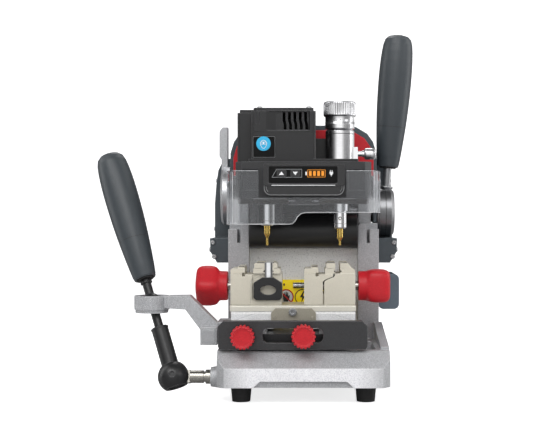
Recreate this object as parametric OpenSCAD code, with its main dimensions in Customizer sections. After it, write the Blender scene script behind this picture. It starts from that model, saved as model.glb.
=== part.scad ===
// Key duplicating machine: X-Y table with twin vises, joystick, lifting head.
// Millimetres, +Z up, front towards -Y, origin on the bench under the base.

/* [Base] */
// Half width of the base casting
base_hw = 75.3; // [74:0.1:80]
// Half depth of the base casting
base_hd = 115; // [112:1:125]
// Height of the rubber feet
foot_h = 14.4; // [12:0.2:18]
// Height of the deck above the bench
deck_z = 45; // [44:0.5:45]

/* [Table] */
// Rest offset of the table from the machine centre line
table_x = -9.4; // [-10:0.1:-8]
// Distance between the two vise centres
vise_pitch = 67.6; // [66:0.2:69]
// Height of the vise jaws above the bench
jaw_top = 120.4; // [118:0.2:120.4]
// Width of the free key slot in the right vise
key_slot = 4.5; // [4:0.1:5]

/* [Head] */
// Height of the underside of the motor housing
head_top = 212; // [212:0.5:213]
// Diameter of the cutter and tracer shanks
tool_d = 6; // [5:0.1:6.4]
// Height of the cutter tip at rest
tip_z = 135.5; // [135.2:0.1:138]
// Teeth on the lever pinion
pinion_n = 14; // [14:1:14]

/* [Levers] */
// Length of the joystick grip
grip_l = 125; // [110:1:132]
// Outward lean of the joystick in degrees
stick_lean = 17.9; // [17:0.1:19]
// Rearward lean of the joystick in degrees
stick_back = 17; // [16:0.1:18]
// Outward lean of the lift lever in degrees
lift_lean = 4.8; // [3:0.1:6]

/* [Hidden] */
$fn = 48;
overlap = 0.01;

// Feet and guide rods
foot_x = 54.7;
foot_y = 92;
foot_hole_d = 6.6;
x_rod_ys = [-78, -36];
x_rod_z = 34;
x_rod_end = 70.2;
x_rod_d = 10;
z_rod_xs = [-32, 32];
z_rod_y = 71;
z_rod_d = 12;
// Table: Y rails, carriage arms, lock screws as [x, z], stop bracket screw
rail_xs = [table_x-28, table_x+28];
arm_xs = [table_x-39, table_x+39];
y_lock = [-52.6, 57.9];
x_lock = [0, 58.5];
stop_x = -9.8;
stop_z = 76;
// Vises: left edges, then upper jaw gaps [left, right] measured from those edges
left_vise_x = -66.4;
right_vise_x = 0.6;
vise_w = 46.6;
split_x = 18.3;
left_gap = [31.1, 38.2];
right_gap = [28.4, 28.4+key_slot];
vise_screw_y = -45;
vise_screw_z = 98.5;
vise_screw_d = 8;
key_x = -32.4;
// Head: spindle at -spindle_x, tracer at +spindle_x
spindle_x = vise_pitch/2;
spindle_y = -35;
motor_x = -15;
guard_y = -40;
guard_z = 193;
tracer_lock_z = 220.5;
button_up_x = -24;
button_down_x = -11.7;
// Lift shaft, lock shaft, pinion and rack
lift_y = 42;
lift_z = 166.5;
lock_z = 183;
gear_module = 2;
rack_y = lift_y - pinion_n*gear_module/2;
// Joystick pivot, and the point of the stick where the ring of the arm surrounds it
pivot_x = -114.4;
pivot_y = -90;
pivot_z = 21;
ring_rise = 64.5;
ring_x = pivot_x - ring_rise*tan(stick_lean)/cos(stick_back);
ring_y = pivot_y + ring_rise*tan(stick_back);

aluminium = [0.78,0.78,0.8];
dark = [0.2,0.2,0.21];
slate = [0.31,0.35,0.38];
red = [0.8,0.16,0.18];
cream = [0.83,0.8,0.73];
steel = [0.62,0.63,0.65];
gold = [0.8,0.66,0.25];
black = [0.07,0.07,0.075];
chrome = [0.85,0.86,0.88];
yellow = [0.92,0.76,0.1];
blue_grey = [0.42,0.5,0.58];
pale_grey = [0.86,0.86,0.85];
ivory = [0.93,0.91,0.83];
tan_grey = [0.72,0.69,0.62];
panel_black = [0.12,0.12,0.13];
clear = [0.75,0.78,0.8,0.35];

// ---- helpers ----
// Box from corner to corner
module box(low, high) translate(low) cube(high-low);
// Cylinders along X, Y and Z
module rod_x(x0, x1, d, y=0, z=0) translate([x0,y,z]) rotate([0,90,0]) cylinder(h=x1-x0, d=d);
module rod_y(y0, y1, d, x=0, z=0) translate([x,y1,z]) rotate([90,0,0]) cylinder(h=y1-y0, d=d);
module rod_z(z0, z1, d, x=0, y=0) translate([x,y,z0]) cylinder(h=z1-z0, d=d);
// Cones along X and Z
module cone_x(x0, x1, d1, d2, y, z)
  translate([x0,y,z]) rotate([0,90,0]) cylinder(h=x1-x0, d1=d1, d2=d2);
module cone_z(z0, z1, d1, d2) translate([0,0,z0]) cylinder(h=z1-z0, d1=d1, d2=d2);
module rounded_rect(corner, size, r)
  translate(corner+[r,r]) offset(r=r) square(size-[2*r,2*r]);
// XZ outline extruded from y0 to y1
module slab_y(y0, y1) translate([0,y1,0]) rotate([90,0,0]) linear_extrude(y1-y0) children();
// YZ outline extruded from x0 to x1
module slab_x(x0, x1) translate([x0,0,0]) rotate([90,0,90]) linear_extrude(x1-x0) children();
module both_sides() {
  children();
  mirror([1,0,0]) children();
}
module at_feet() for (x=[-foot_x,foot_x], y=[-foot_y,foot_y]) translate([x,y,0]) children();
module on_spindle() translate([-spindle_x,spindle_y,0]) children();
module on_tracer() translate([spindle_x,spindle_y,0]) children();
module on_motor() translate([motor_x,0,0]) children();

// ---- base ----
module base_casting() color(aluminium) difference() {
  union() {
    // base with chamfered corners and sloped front
    intersection() {
      translate([0,0,foot_h]) linear_extrude(deck_z-foot_h) polygon([
        [-68.4,-base_hd],[68.4,-base_hd],[base_hw,-base_hd+8],[base_hw,base_hd-8],
        [68.4,base_hd],[-68.4,base_hd],[-base_hw,base_hd-8],[-base_hw,-base_hd+8]]);
      slab_x(-90, 90) polygon([[-base_hd,foot_h],[base_hd,foot_h],[base_hd,deck_z-4],
        [base_hd-4,deck_z],[-base_hd+15,deck_z],[-base_hd,31]]);
    }
    both_sides() {
      // side walls of the column
      slab_x(58.5, 72.4) polygon([[0,deck_z-1],[108,deck_z-1],[108,140],[100,156],
        [20,156],[20,150],[0,150]]);
      // front prongs
      box([52.4,0,deck_z-1], [60,20,148]);
      slab_y(0, 20) polygon([[52.4,120],[69.7,120],[69.7,135],[60,138],[60,153],[58,156],
        [54.4,156],[52.4,153]]);
      // uprights under the top bridge
      slab_x(54, 66) polygon([[24.5,130],[100,130],[100,226.5],[54,226.5],[24.5,196]]);
    }
    // sloping cheeks beside the deck, right then left
    slab_x(67.8, base_hw) polygon([[-93,44],[1,44],[1,61],[-93,47.5]]);
    slab_x(-base_hw, -67.8) polygon([[-84,44],[1,44],[1,61],[-50,48.6],[-84,47.7]]);
    // cross walls of the column and the block under the Z rods
    box([-60,12,deck_z-1], [60,24,131.5]);
    box([-60,96,deck_z-1], [60,108,140]);
    box([-46,60,deck_z-1], [46,82,62]);
    // boss for the joystick stub shaft
    cone_x(-base_hw-6.2, -base_hw+2.8, 17, 20, pivot_y, pivot_z);
  }
  // grooves in the tops of the prongs
  both_sides() box([60.6,-1,137], [63.6,17,160]);
  // underside cavity around the foot bosses
  difference() {
    box([-64,-96,foot_h-1], [64,104,foot_h+5]);
    at_feet() rod_z(foot_h-2, foot_h+6, 20.4);
  }
  at_feet() rod_z(foot_h-1, 26, foot_hole_d);
  // relief under the front edge
  slab_y(-base_hd-1, -base_hd+3) polygon([[-43.5,foot_h-1],[43.5,foot_h-1],[43.5,foot_h],
    [37.5,foot_h+5.6],[-37.5,foot_h+5.6],[-43.5,foot_h]]);
  // carriage pocket in the deck
  box([-64,-90,24], [64,-24,deck_z+1]);
  // guide rod sockets
  x_rods();
  for (x=z_rod_xs) rod_z(40, 63, z_rod_d, x, z_rod_y);
  // stub shaft, lift shaft and lock shaft bores
  rod_x(-90, -58, 11.3, pivot_y, pivot_z);
  rod_x(50, 80, 14.1, lift_y, lift_z);
  rod_x(-80, -50, 8.1, lift_y, lock_z);
  // switch opening in the rear wall
  box([-39.1,95,79.9], [-24.9,109,100.1]);
  rod_x(-41, -23, 3.1, 103, 90);
  // lock post seat
  box([-6,-94,40], [6,-90+overlap,deck_z+1]);
}
module rubber_feet() color(black) at_feet() difference() {
  cone_z(0, foot_h, 16, 18.7);
  rod_z(-1, foot_h+1, foot_hole_d);
}
module x_rods() for (y=x_rod_ys) rod_x(-x_rod_end, x_rod_end, x_rod_d, y, x_rod_z);
module x_guide_rods() color(steel) x_rods();
module z_guide_rods() color(steel) for (x=z_rod_xs) rod_z(40, 236, z_rod_d, x, z_rod_y);
module top_bridge() color(aluminium) difference() {
  translate([0,0,226.5]) linear_extrude(9.5) rounded_rect([-60.5,58], [121,26], 5);
  for (x=z_rod_xs) rod_z(226, 237, z_rod_d, x, z_rod_y);
  rod_z(226, 237, 14, 0, z_rod_y);
}
module cross_tube() color(black) difference() {
  union() {
    rod_x(-51.4, 51.4, 33, 2, 148.4);
    both_sides() rod_x(51.4, 52.4, 24, 2, 148.4);
  }
  rod_x(-53, 53, 20, 2, 148.4);
}

// ---- covers and fittings ----
// XZ outline with rounded shoulders, from z = 120 up to top
module arch(half_w, top) polygon([[-half_w,120],[-half_w,top-27],[-half_w+3.4,top-16],
  [-half_w+9,top-8],[-half_w+20,top-1.5],[-half_w+30,top],[half_w-30,top],
  [half_w-20,top-1.5],[half_w-9,top-8],[half_w-3.4,top-16],[half_w,top-27],[half_w,120]]);
module rear_cover() color(slate) difference() {
  slab_y(20, 113) arch(71.5, 251.5);
  // recess for the trim, then the cavity
  slab_y(19, 24) arch(68.6, 247);
  slab_y(23, 110) arch(68.2, 247);
  box([-80,0,110], [80,109,157]);
  // lift shaft and lock shaft holes
  rod_x(60, 80, 15, lift_y, lift_z);
  rod_x(-80, -60, 10, lift_y, lock_z);
  // slots in the rear face
  for (i=[-4:4]) box([i*11-2.5,105,200], [i*11+2.5,120,232]);
}
module rear_trim() color(red) difference() {
  slab_y(20, 24) arch(68.6, 247);
  slab_y(19, 25) polygon([[-60,190],[-60,200],[-47,206],[-47,213.5],[47,213.5],[47,206],
    [60,200],[60,190]]);
  box([-80,0,110], [80,109,196]);
}
// Right-hand side cover
module side_cover() difference() {
  union() {
    // lower box with tapered underside
    slab_y(12, 105) polygon([[72.4,117.5],[84,117.5],[90.4,128],[91,141.2],[72.4,141.2]]);
    // rear housing with rounded top
    slab_y(74, 105) polygon([[72.4,141],[91,141],[91,176],[89.5,196],[87.5,210],[83,219],
      [76,222],[72.4,222]]);
  }
  slab_y(15, 102) polygon([[70,121],[83,121],[87.5,129],[88,138],[70,138]]);
  slab_y(77, 102) polygon([[70,137],[88,137],[88,176],[86.5,196],[84,210],[81,216],
    [76,218.5],[70,218.5]]);
}
module side_cover_left() color(slate) mirror([1,0,0]) side_cover();
module side_cover_right() color(slate) side_cover();
module pictogram_plate() color(yellow) difference() {
  box([-32,11,72], [28,12,101]);
  for (x=[-29,25], z=[75,98]) rod_y(10, 13, 3, x, z);
}
module tool_box() color(blue_grey) difference() {
  slab_y(8, 60) rounded_rect([72.4,72.8], [20.2,33.8], 5);
  box([77,11,77], [90.6,57,110]);
}
module x_lock_post() color(steel) difference() {
  box([-6,-94,40], [6,-90,66]);
  rod_y(-100, -86, 6.1, x_lock.x, x_lock.y);
}
module power_switch() color(black) {
  slab_x(-38.5, -25.5) polygon([[102,82],[107,80.5],[109.3,90],[112,98],[106,97.4],[102,96.5]]);
  // pivot pin of the rocker
  rod_x(-40.9, -23.1, 3, 103, 90);
}

// ---- X carriage, moves left and right ----
module x_carriage() color(aluminium) difference() {
  union() {
    box([table_x-45,-86,46], [table_x+45,-22,58]);
    for (x=arm_xs) box([x-9,-95,46.5], [x+9,-85,58]);
    for (y=x_rod_ys) box([table_x-30,y-8,25.5], [table_x+30,y+8,47]);
  }
  for (y=x_rod_ys) rod_x(table_x-60, table_x+60, x_rod_d+0.1, y, x_rod_z);
  // seats of the Y rails
  for (x=rail_xs) box([x-4.6,-84,56], [x+4.6,-24,59]);
  // lock screw bore and the holes in the front arms
  rod_y(-96, -84, 6.1, y_lock.x, y_lock.y);
  for (x=arm_xs) rod_y(-96, -86, 4, x, 52);
}
module front_bar() color(dark) difference() {
  slab_y(-104, -95) polygon([[-74.4,49],[-73,46.4],[54,46.4],[55.6,49],[55.6,66.5],
    [51,71.2],[-70,71.2],[-74.4,66.5]]);
  // long slot for the fixed lock screw
  slab_y(-105, -94) rounded_rect([-35.8,52.1], [52.9,12.8], 5);
  rod_y(-105, -94, 6.1, y_lock.x, y_lock.y);
}
module y_guide_rails() color(steel) for (x=rail_xs) difference() {
  box([x-4.5,-84,56], [x+4.5,-24,64]);
  // grooves along both sides
  for (edge=[x-4.5,x+4.5]) box([edge-0.8,-85,59.2], [edge+0.8,-23,61.2]);
}
// Scalloped knob and screw; axis is [x, z]
module lock_knob(axis) translate([axis.x,0,axis.y]) {
  difference() {
    rod_y(-117.5, -106, 21.3);
    for (i=[0:13]) rotate([0,i*360/14,0]) rod_y(-119, -105, 3.4, 11.4);
    // recess in the front face
    rod_y(-118.8, -117, 15);
  }
  rod_y(-106.5, -105, 12);
  rod_y(-106, -90.3, 6);
}
module y_lock_knob() color(red) lock_knob(y_lock);
module x_lock_knob() color(red) lock_knob(x_lock);

// ---- Y table, moves towards and away from the operator ----
module table_plate() color(pale_grey) difference() {
  union() {
    slab_x(table_x-56.3, table_x+56.4) polygon([[-59,76.1],[-62,74],[-62,68.1],
      [-14.4,68.1],[-14.4,76.1]]);
    for (x=rail_xs) box([x-10,-58,60], [x+10,-16,68.2]);
  }
  for (x=rail_xs) box([x-4.56,-60,58], [x+4.56,-12,64.06]);
  // shallow relief lines on the front face
  for (s=[-1,1]) translate([table_x+s*40,-62.6,72]) rotate([0,s*18,0])
    cube([36,2,0.8], center=true);
}
module vise_rail() color(ivory) difference() {
  slab_x(-66.8, 47.6) polygon([[-60,76.1],[-14.4,76.1],[-14.4,81.4],[-59,81.4],[-60,80.4]]);
  for (x=[-43,23.9]) rod_z(75, 83, 5, x, -20);
}
module stop_bracket() color(tan_grey) difference() {
  slab_y(-65, -62) polygon([[-29.3,68.2],[11.3,68.2],[11.3,75],[7.4,79.3],[-25.4,79.3],
    [-29.3,75]]);
  rod_y(-66, -60, 4.3, stop_x, stop_z);
}
module bracket_screw() color(steel) difference() {
  union() {
    rod_y(-68.5, -65, 7.1, stop_x, stop_z);
    rod_y(-65.5, -62, 4.3, stop_x, stop_z);
  }
  // hexagon socket
  rod_y(-70.3, -66.3, 3.5, stop_x, stop_z, $fn=6);
}
// Cranked arm with a ring around the joystick
module lever_arm() color(aluminium) difference() {
  union() {
    slab_y(-84, -66) polygon([[-75.9,49],[-90.6,49],[-90.6,60.4],[-104.9,79.5],[-120,80.5],
      [-120,91.5],[-101,91.8],[-76.6,67.5],[-75.9,66.5]]);
    box([-90.6,-95,49.2], [-75.9,-66,65]);
    box([-77,-80,61.5], [-50,-40,68.1]);
    rod_z(78.8, 91.2, 31.4, ring_x, ring_y);
    rod_z(76, 79, 29.4, ring_x, ring_y);
    box([ring_x,-80,80.5], [-118,-66,91]);
  }
  rod_z(70, 95, 22.4, ring_x, ring_y);
}

// ---- vises: x runs from the left edge of each; the halves part along a stepped line ----
// Shallow pocket behind the bow of the clamped key
module bow_pocket() box([19.4,-59,86], [49.4,-55,110.25]);
// Right half; gap_x is the right side of the upper jaw gap
module vise_body(gap_x, right) {
  // end of the upper jaw as [x, z]: sloped on the right vise, stepped on the left
  jaw_end = right
    ? [[vise_w,110],[46.4,113.3],[42.2,116.5],[40.8,118.6],[39.6,jaw_top]]
    : [[45.2,110],[45.2,114.3],[44.6,114.8],[42.6,114.8],[42.6,118.8],[40,jaw_top]];
  difference() {
    union() {
      box([0,-54,81.4], [vise_w,-15,91.9]);
      slab_y(-58, -15) polygon([[split_x,81.4],[vise_w,81.4],[vise_w,110.2],[27.9,110.2],
        [27.9,108.1],[27.1,107.1],[20.6,104.7],[split_x,102.6]]);
      slab_y(-57.4, -15) polygon(concat([[gap_x,110]], jaw_end,
        [[gap_x+0.4,jaw_top],[gap_x,jaw_top-0.4]]));
    }
    // screw bore and its collar
    rod_x(10, right?50:36, vise_screw_d+0.1, vise_screw_y, vise_screw_z);
    rod_x(26, right?30:36, 12.1, vise_screw_y, vise_screw_z);
    // key step and relief lines across the upper jaw
    box([gap_x-1,-59,111.5], [gap_x+1.2,-20,113]);
    box([gap_x+1.6,-58,114.6], [right?38:42,-56.8,115.1]);
    box([36,-40,118.9], [37,-14,121]);
    if (!right) bow_pocket();
  }
}
// Left half; gap_x is the left side of the gap, top_x the left end of the upper jaw,
// clearance the distance kept from the right half
module moving_jaw(gap_x, clearance, top_x, right) difference() {
  union() {
    box([0,-58,92], [split_x-clearance,-15,109.5]);
    box([0,-58,81.6], [split_x-clearance,-54.1,93]);
    // step over the right half
    slab_y(-58, -15) polygon([[14,98],[split_x-clearance,98],[split_x-clearance,102.7],
      [20.6-clearance,104.8],[27.1-clearance,107.2],[27.8-clearance,108.1],
      [27.8-clearance,109.5],[14,109.5]]);
    slab_y(-57.4, -15) polygon([[14,109],[27.8-clearance,109],[27.8-clearance,110.3],
      [gap_x,110.3],[gap_x,jaw_top-0.4],[gap_x-0.4,jaw_top],[top_x+3.2,jaw_top],
      [top_x+2.2,jaw_top-0.9],[top_x+1.1,jaw_top-1.4],[top_x+1.1,115.2],[top_x,114.3],
      [top_x,109.5],[14,109.5]]);
    // outer block with a raised tab
    slab_y(-56.4, -15) polygon([[0,109],[13,109],[13,114.8],[1.2,114.8],[0,113.4]]);
    slab_y(-54, -15) polygon([[6.4,114],[12.4,114],[12.4,116.8],[7,116.8],[6.4,116.2]]);
    box([0,-58,109], [10.4,-50,110]);
  }
  rod_x(-1, 26, vise_screw_d+0.1, vise_screw_y, vise_screw_z);
  // key step, relief line and front notch
  box([gap_x-1.2,-59,111.5], [gap_x+1,-20,113]);
  box([top_x+2,-58,114.6], [gap_x-1.6,-56.8,115.1]);
  box([10.5,-59,107.7], [13.2,-50,111]);
  if (!right) bow_pocket();
}
module left_vise_body() color(cream)
  translate([left_vise_x,0,0]) vise_body(left_gap[1], right=false);
module right_vise_body() color(cream)
  translate([right_vise_x,0,0]) vise_body(right_gap[1], right=true);
module left_moving_jaw() color(cream)
  translate([left_vise_x,0,0]) moving_jaw(left_gap[0], 0.1, 20.5, right=false);
module right_moving_jaw() color(cream)
  translate([right_vise_x,0,0]) moving_jaw(right_gap[0], 1.3, 19.1, right=true);
module left_vise_screw() color(steel) {
  rod_x(-84, -31, vise_screw_d, vise_screw_y, vise_screw_z);
  rod_x(-40, -32, 12, vise_screw_y, vise_screw_z);
}
module right_vise_screw() color(steel) {
  rod_x(8, 64.5, vise_screw_d, vise_screw_y, vise_screw_z);
  rod_x(26.8, 30.4, 12, vise_screw_y, vise_screw_z);
}
// Four-lobed knob with its flange at x; side is 1 to face right, -1 to face left
module lobe_knob(side, x, turn)
  translate([x,vise_screw_y,vise_screw_z]) rotate([turn,0,0]) rotate([0,90,0])
  scale([1,1,side]) difference() {
    union() {
      cylinder(h=8.1, d=27.2);
      translate([0,0,8]) intersection() {
        linear_extrude(20.9) offset(r=6) square(18.6, center=true);
        union() {
          cylinder(h=19.4, d=37.4);
          cone_z(19.4, 20.9, 37.4, 34.4);
        }
      }
    }
    rod_z(-1, 14.4, vise_screw_d);
    for (i=[0:3]) rotate(i*90) rod_z(6, 36, 9, 18.2);
    // recess in the end face
    rod_z(27.9, 31.9, 14);
  }
module left_vise_knob() color(red) lobe_knob(-1, -69.6, 45);
module right_vise_knob() color(red) lobe_knob(1, 50.3, 0);
module key_blade() color(steel) difference() {
  box([-35.15,-58,100.5], [-28.25,-55.6,jaw_top+0.1]);
  box([key_x,-58.5,104], [-31,-57.5,jaw_top-2]);
}
module key_bow() color(black) difference() {
  slab_y(-61.4, -55.2) translate([key_x,0]) offset(r=1.6) polygon([[-4.6,105.2],[4.6,105.2],
    [11.4,101],[11.4,89.1],[10.4,88.3],[-10.4,88.3],[-11.4,89.1],[-11.4,101]]);
  // slot for the blade, then the oval hole
  box([-35.25,-58.05,100.4], [-28.15,-55.55,112]);
  slab_y(-63, -52) translate([-32.1,95.4]) scale([1,0.6]) circle(d=14.5);
}

// ---- joystick ----
module yoke() translate([pivot_x,pivot_y,pivot_z]) rotate([-stick_back,0,0]) children();
module stick() yoke() rotate([0,-stick_lean,0]) children();
module stick_stub() color(steel) yoke() difference() {
  union() {
    rod_x(14.6, 55, 11.2);
    // flat tongue with a round end
    intersection() {
      box([-6,-3,-5.6], [15,3,5.6]);
      union() {
        rod_y(-4, 4, 11.2);
        box([0,-4,-6], [15,4,6]);
      }
    }
    rod_x(28.4, 32.7, 12.6);
  }
  rod_y(-5, 5, 5.1);
  // groove beside the collar
  difference() {
    rod_x(26.6, 28.4, 14);
    rod_x(26, 29, 9.4);
  }
}
module stick_socket() color(black) stick() {
  difference() {
    union() {
      sphere(d=27.8);
      cylinder(h=46, d=15);
    }
    // fork slot for the tongue of the stub shaft
    slab_y(-3.1, 3.1) {
      circle(d=12.6);
      hull() for (a=[9,-30]) rotate(a) translate([0,-6.1]) square([22,12.2]);
    }
    rod_z(-16, -9.7, 30);
    rod_z(-12, -8.4, 16);
    rod_z(30, 47, 8);
    rod_y(-15, 15, 5);
  }
  // cross pin
  rod_y(-12.6, 12.6, 5);
}
module stick_rod() color(black) stick() {
  rod_z(30, grip_l+68, 8);
  translate([0,0,70.9]) sphere(d=16);
}
// Grip outline above its base as [radius, fraction of length]
grip_outline = [[11.9,0.08],[13.1,0.17],[14.1,0.26],[14.9,0.34],[15.6,0.43],[16,0.52],
  [16.3,0.62],[16.3,0.72],[16,0.8],[15.4,0.87],[14.5,0.925],[12.9,0.965],[10,0.987],
  [5,0.998],[0,1]];
// Hollow hand grip standing on z = 0; girth scales the radii
module grip(length, girth) rotate_extrude() difference() {
  polygon(concat([[0,0],[10*girth,0],[10.6*girth,1.2]],
    [for (p=grip_outline) [p.x*girth, p.y*length]]));
  translate([-1,-1]) square([5,length*0.8+1]);
}
module stick_grip() color(slate) stick() translate([0,0,93.4]) grip(grip_l, 0.95);

// ---- lift and lock levers ----
module lift() translate([80.2,lift_y,lift_z]) rotate([0,lift_lean,0]) children();
// Hub with shaft and pinion
module z_hub() color(steel) difference() {
  union() {
    rod_x(72.6, 75, 45, lift_y, lift_z);
    rod_x(75, 86.5, 48.8, lift_y, lift_z);
    cone_x(86.5, 89.5, 48.8, 42, lift_y, lift_z);
    rod_x(26, 73, 14, lift_y, lift_z);
    // pinion
    translate([30.2,lift_y,lift_z]) rotate([90,0,90]) linear_extrude(9.6) {
      circle(r=11.8);
      for (i=[0:pinion_n-1]) rotate(180+i*360/pinion_n)
        polygon([[11,-1.9],[11.8,-1.85],[14,-1.2],[15.5,-0.6],[15.5,0.6],[14,1.2],
          [11.8,1.85],[11,1.9]]);
    }
  }
  lift() rod_z(10, 30, 8);
  rod_x(87.5, 91, 30, lift_y, lift_z);
}
module z_lever_rod() color(steel) lift() rod_z(10, 140, 8);
module z_grip() color(slate) lift() translate([0,0,45.6]) grip(132, 1);
module z_lock_lever() color(aluminium) difference() {
  union() {
    cone_x(-81.3, -79.1, 52, 58, lift_y, lock_z);
    rod_x(-79.1, -72.6, 58, lift_y, lock_z);
    rod_x(-73, -48, 8, lift_y, lock_z);
    slab_y(35, 49) polygon([[-75.2,205],[-75.2,251],[-80.5,251],[-83.4,247],[-83.4,222],
      [-81.3,219],[-81.3,205]]);
  }
  rod_x(-83, -79.6, 34, lift_y, lock_z);
}

// ---- lifting head ----
module head_casting() color(dark) difference() {
  union() {
    translate([0,0,178]) linear_extrude(34) polygon([[-62,-54],[-56,-62],[56,-62],[62,-54],
      [62,-15],[-62,-15]]);
    slab_x(-60, 60) polygon([[-60,178.5],[-52,174],[-24,174],[-15,178.5]]);
    // spindle boss and tracer boss
    on_spindle() hull() {
      rod_z(155.8, 180, 30);
      rod_z(156.5, 180, 29, -1.2, -1);
    }
    on_tracer() rod_z(166.4, 180, 24, -3, 6);
    // pivot ears of the guard
    both_sides() rod_x(61, 66, 14, guard_y, guard_z);
    // neck over the cross tube
    box([-46,-16,199], [46,59,212]);
    box([-36,-16,183], [22,59,200]);
    // carriage on the vertical rods
    box([-46,58,176], [46,84,225.5]);
  }
  for (x=z_rod_xs) rod_z(170, 230, z_rod_d+0.1, x, z_rod_y);
  on_spindle() {
    rod_z(150, 174.2, 13.75);
    rod_z(174, 213, 10.12);
    // window in the front of the boss
    box([-8.2,-60-spindle_y,150], [8.2,0,173.4]);
  }
  on_motor() rod_z(186, 213, 31);
  on_tracer() {
    rod_z(160, 213, 14.8);
    rod_z(208, 213, 26.8);
  }
  both_sides() rod_x(58, 70, 4, guard_y, guard_z);
  rod_z(170, 230, 14, 0, z_rod_y);
  // pockets in the front face
  both_sides() box([41,-64,186], [56,-60,205]);
}
module z_rack() color(steel) {
  box([30,20.4,155.5], [40,26,199]);
  intersection() {
    box([30,20,155.5], [40,32,198.9]);
    for (i=[-3:6]) translate([30,rack_y,lift_z+(i+0.5)*gear_module*PI]) rotate([90,0,90])
      linear_extrude(10) polygon([[-2.2,-2],[1.4,-0.72],[1.4,0.72],[-2.2,2]]);
  }
}
// Plan of the motor cover, set back on its left
module cover_plan() polygon([[-47.5,-62],[11.2,-62],[11.2,18],[-61.2,18],[-61.2,-42],
  [-47.5,-42]]);
module motor_housing() color(black) difference() {
  union() {
    difference() {
      union() {
        translate([0,0,head_top]) linear_extrude(46) offset(r=3) offset(delta=-3) cover_plan();
        translate([0,0,head_top+46]) linear_extrude(3) offset(r=3) offset(delta=-5) cover_plan();
        translate([0,0,head_top]) linear_extrude(2.5) rounded_rect([-50,-62], [100,47], 4);
        // post beside the micrometer
        box([10.5,-18,head_top], [23.5,16,236]);
      }
      translate([0,0,head_top-1]) linear_extrude(47) offset(delta=-2.2) cover_plan();
      // recess with sloping sides for the louvres
      translate([0,0,240.3]) linear_extrude(17.4) polygon([[-34,-63],[-34,-62],[-25,-60.2],
        [4.5,-60.2],[6,-62],[6,-63]]);
    }
    // plate behind the louvre recess
    box([-36,-60.1,238.5], [8,-58,259]);
  }
  on_tracer() rod_z(head_top-1, head_top+4, 26.8);
  // louvres in the front, slots in the right side, fine grooves in the front
  for (i=[0:4]) slab_y(-64, -55) translate([-19+i*4.9,0]) polygon([[0,257],[0,249.5],
    [1,245.5],[1,241],[3.7,241],[3.7,245.5],[2.7,249.5],[2.7,257]]);
  for (i=[0:3]) box([8,-50+i*9,226], [12,-46+i*9,248]);
  for (x=[-42.8,-40]) box([x-0.3,-63,246], [x+0.3,-61.5,257]);
}
module motor() color(steel) on_motor() difference() {
  rod_z(186, 231, 31);
  rod_z(198, 232, 6.12);
  for (a=[0:60:359]) rod_z(229, 232, 4, 11*cos(a), 11*sin(a));
}
module pulley() difference() {
  rod_z(236, 245, 22.4);
  // belt groove
  difference() {
    rod_z(237.4, 243.6, 26);
    rod_z(237, 244, 18.4);
  }
}
module motor_rotor() color(steel) on_motor() {
  rod_z(199, 247, 6);
  pulley();
}
module belt_loop(d) hull() {
  on_motor() circle(d=d);
  on_spindle() circle(d=d);
}
module drive_belt() color(black) translate([0,0,237.6]) difference() {
  linear_extrude(5.8) belt_loop(21.6);
  translate([0,0,-1]) linear_extrude(8) belt_loop(18.6);
}
module spindle() color(chrome) on_spindle() difference() {
  union() {
    rod_z(155, 173.6, 13.6);
    cone_z(153.6, 155, 10.4, 13.6);
    rod_z(173, 247, 10);
    pulley();
  }
  rod_z(150, 168, tool_d);
}
module cutter() color(gold) on_spindle() {
  rod_z(tip_z, tip_z+6.9, 2);
  cone_z(tip_z+6.8, tip_z+10.9, 2, tool_d);
  rod_z(tip_z+10.9, 168, tool_d);
}
module micrometer_body() color(chrome) on_tracer() difference() {
  union() {
    rod_z(208, 241.2, 26.8);
    cone_z(241.2, 243.2, 26.8, 23.4);
    rod_z(243, 252, 12);
    rod_z(167.4, 209, 14.8);
    // lug for the lock screw
    box([8,-5,214.5], [16.5,5,226.5]);
  }
  rod_z(160, 205, 12.2);
  rod_z(204, 253, 6.12);
  rod_x(7, 18, 5.1, 0, tracer_lock_z);
}
module micrometer_knob() color(chrome) on_tracer() difference() {
  union() {
    rod_z(243.4, 254.8, 27.4);
    rod_z(254.8, 268.7, 30.5);
  }
  rod_z(243, 252.2, 12.1);
  rod_z(252, 266, 6.4);
  // grip flutes, then scale marks with every fifth one longer
  for (i=[0:29]) rotate(i*12) rod_z(256.4, 267.2, 1.5, 15.6);
  for (i=[0:19]) rotate(i*18) box([13.3,-0.2,243], [14,0.2,i%5==0?249:246.6]);
}
module tracer_holder() color(chrome) on_tracer() difference() {
  union() {
    rod_z(152.2, 200, 12.1);
    cone_z(151, 152.2, 9.6, 12.1);
    rod_z(199, 260, 6);
  }
  rod_z(150, 164, tool_d);
}
module tracer_tip() color(gold) on_tracer() {
  rod_z(tip_z, tip_z+4.1, 2);
  cone_z(tip_z+4, tip_z+7.4, 2, tool_d);
  rod_z(tip_z+7.4, 164, tool_d);
}
module tracer_lock_screw() color(chrome) translate([0,spindle_y,tracer_lock_z]) {
  rod_x(spindle_x+7.2, 57, 5);
  difference() {
    rod_x(56, 65.6, 10.9);
    for (i=[0:9]) rotate([i*36,0,0]) rod_x(55, 67, 2, 6.1);
  }
}

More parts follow.
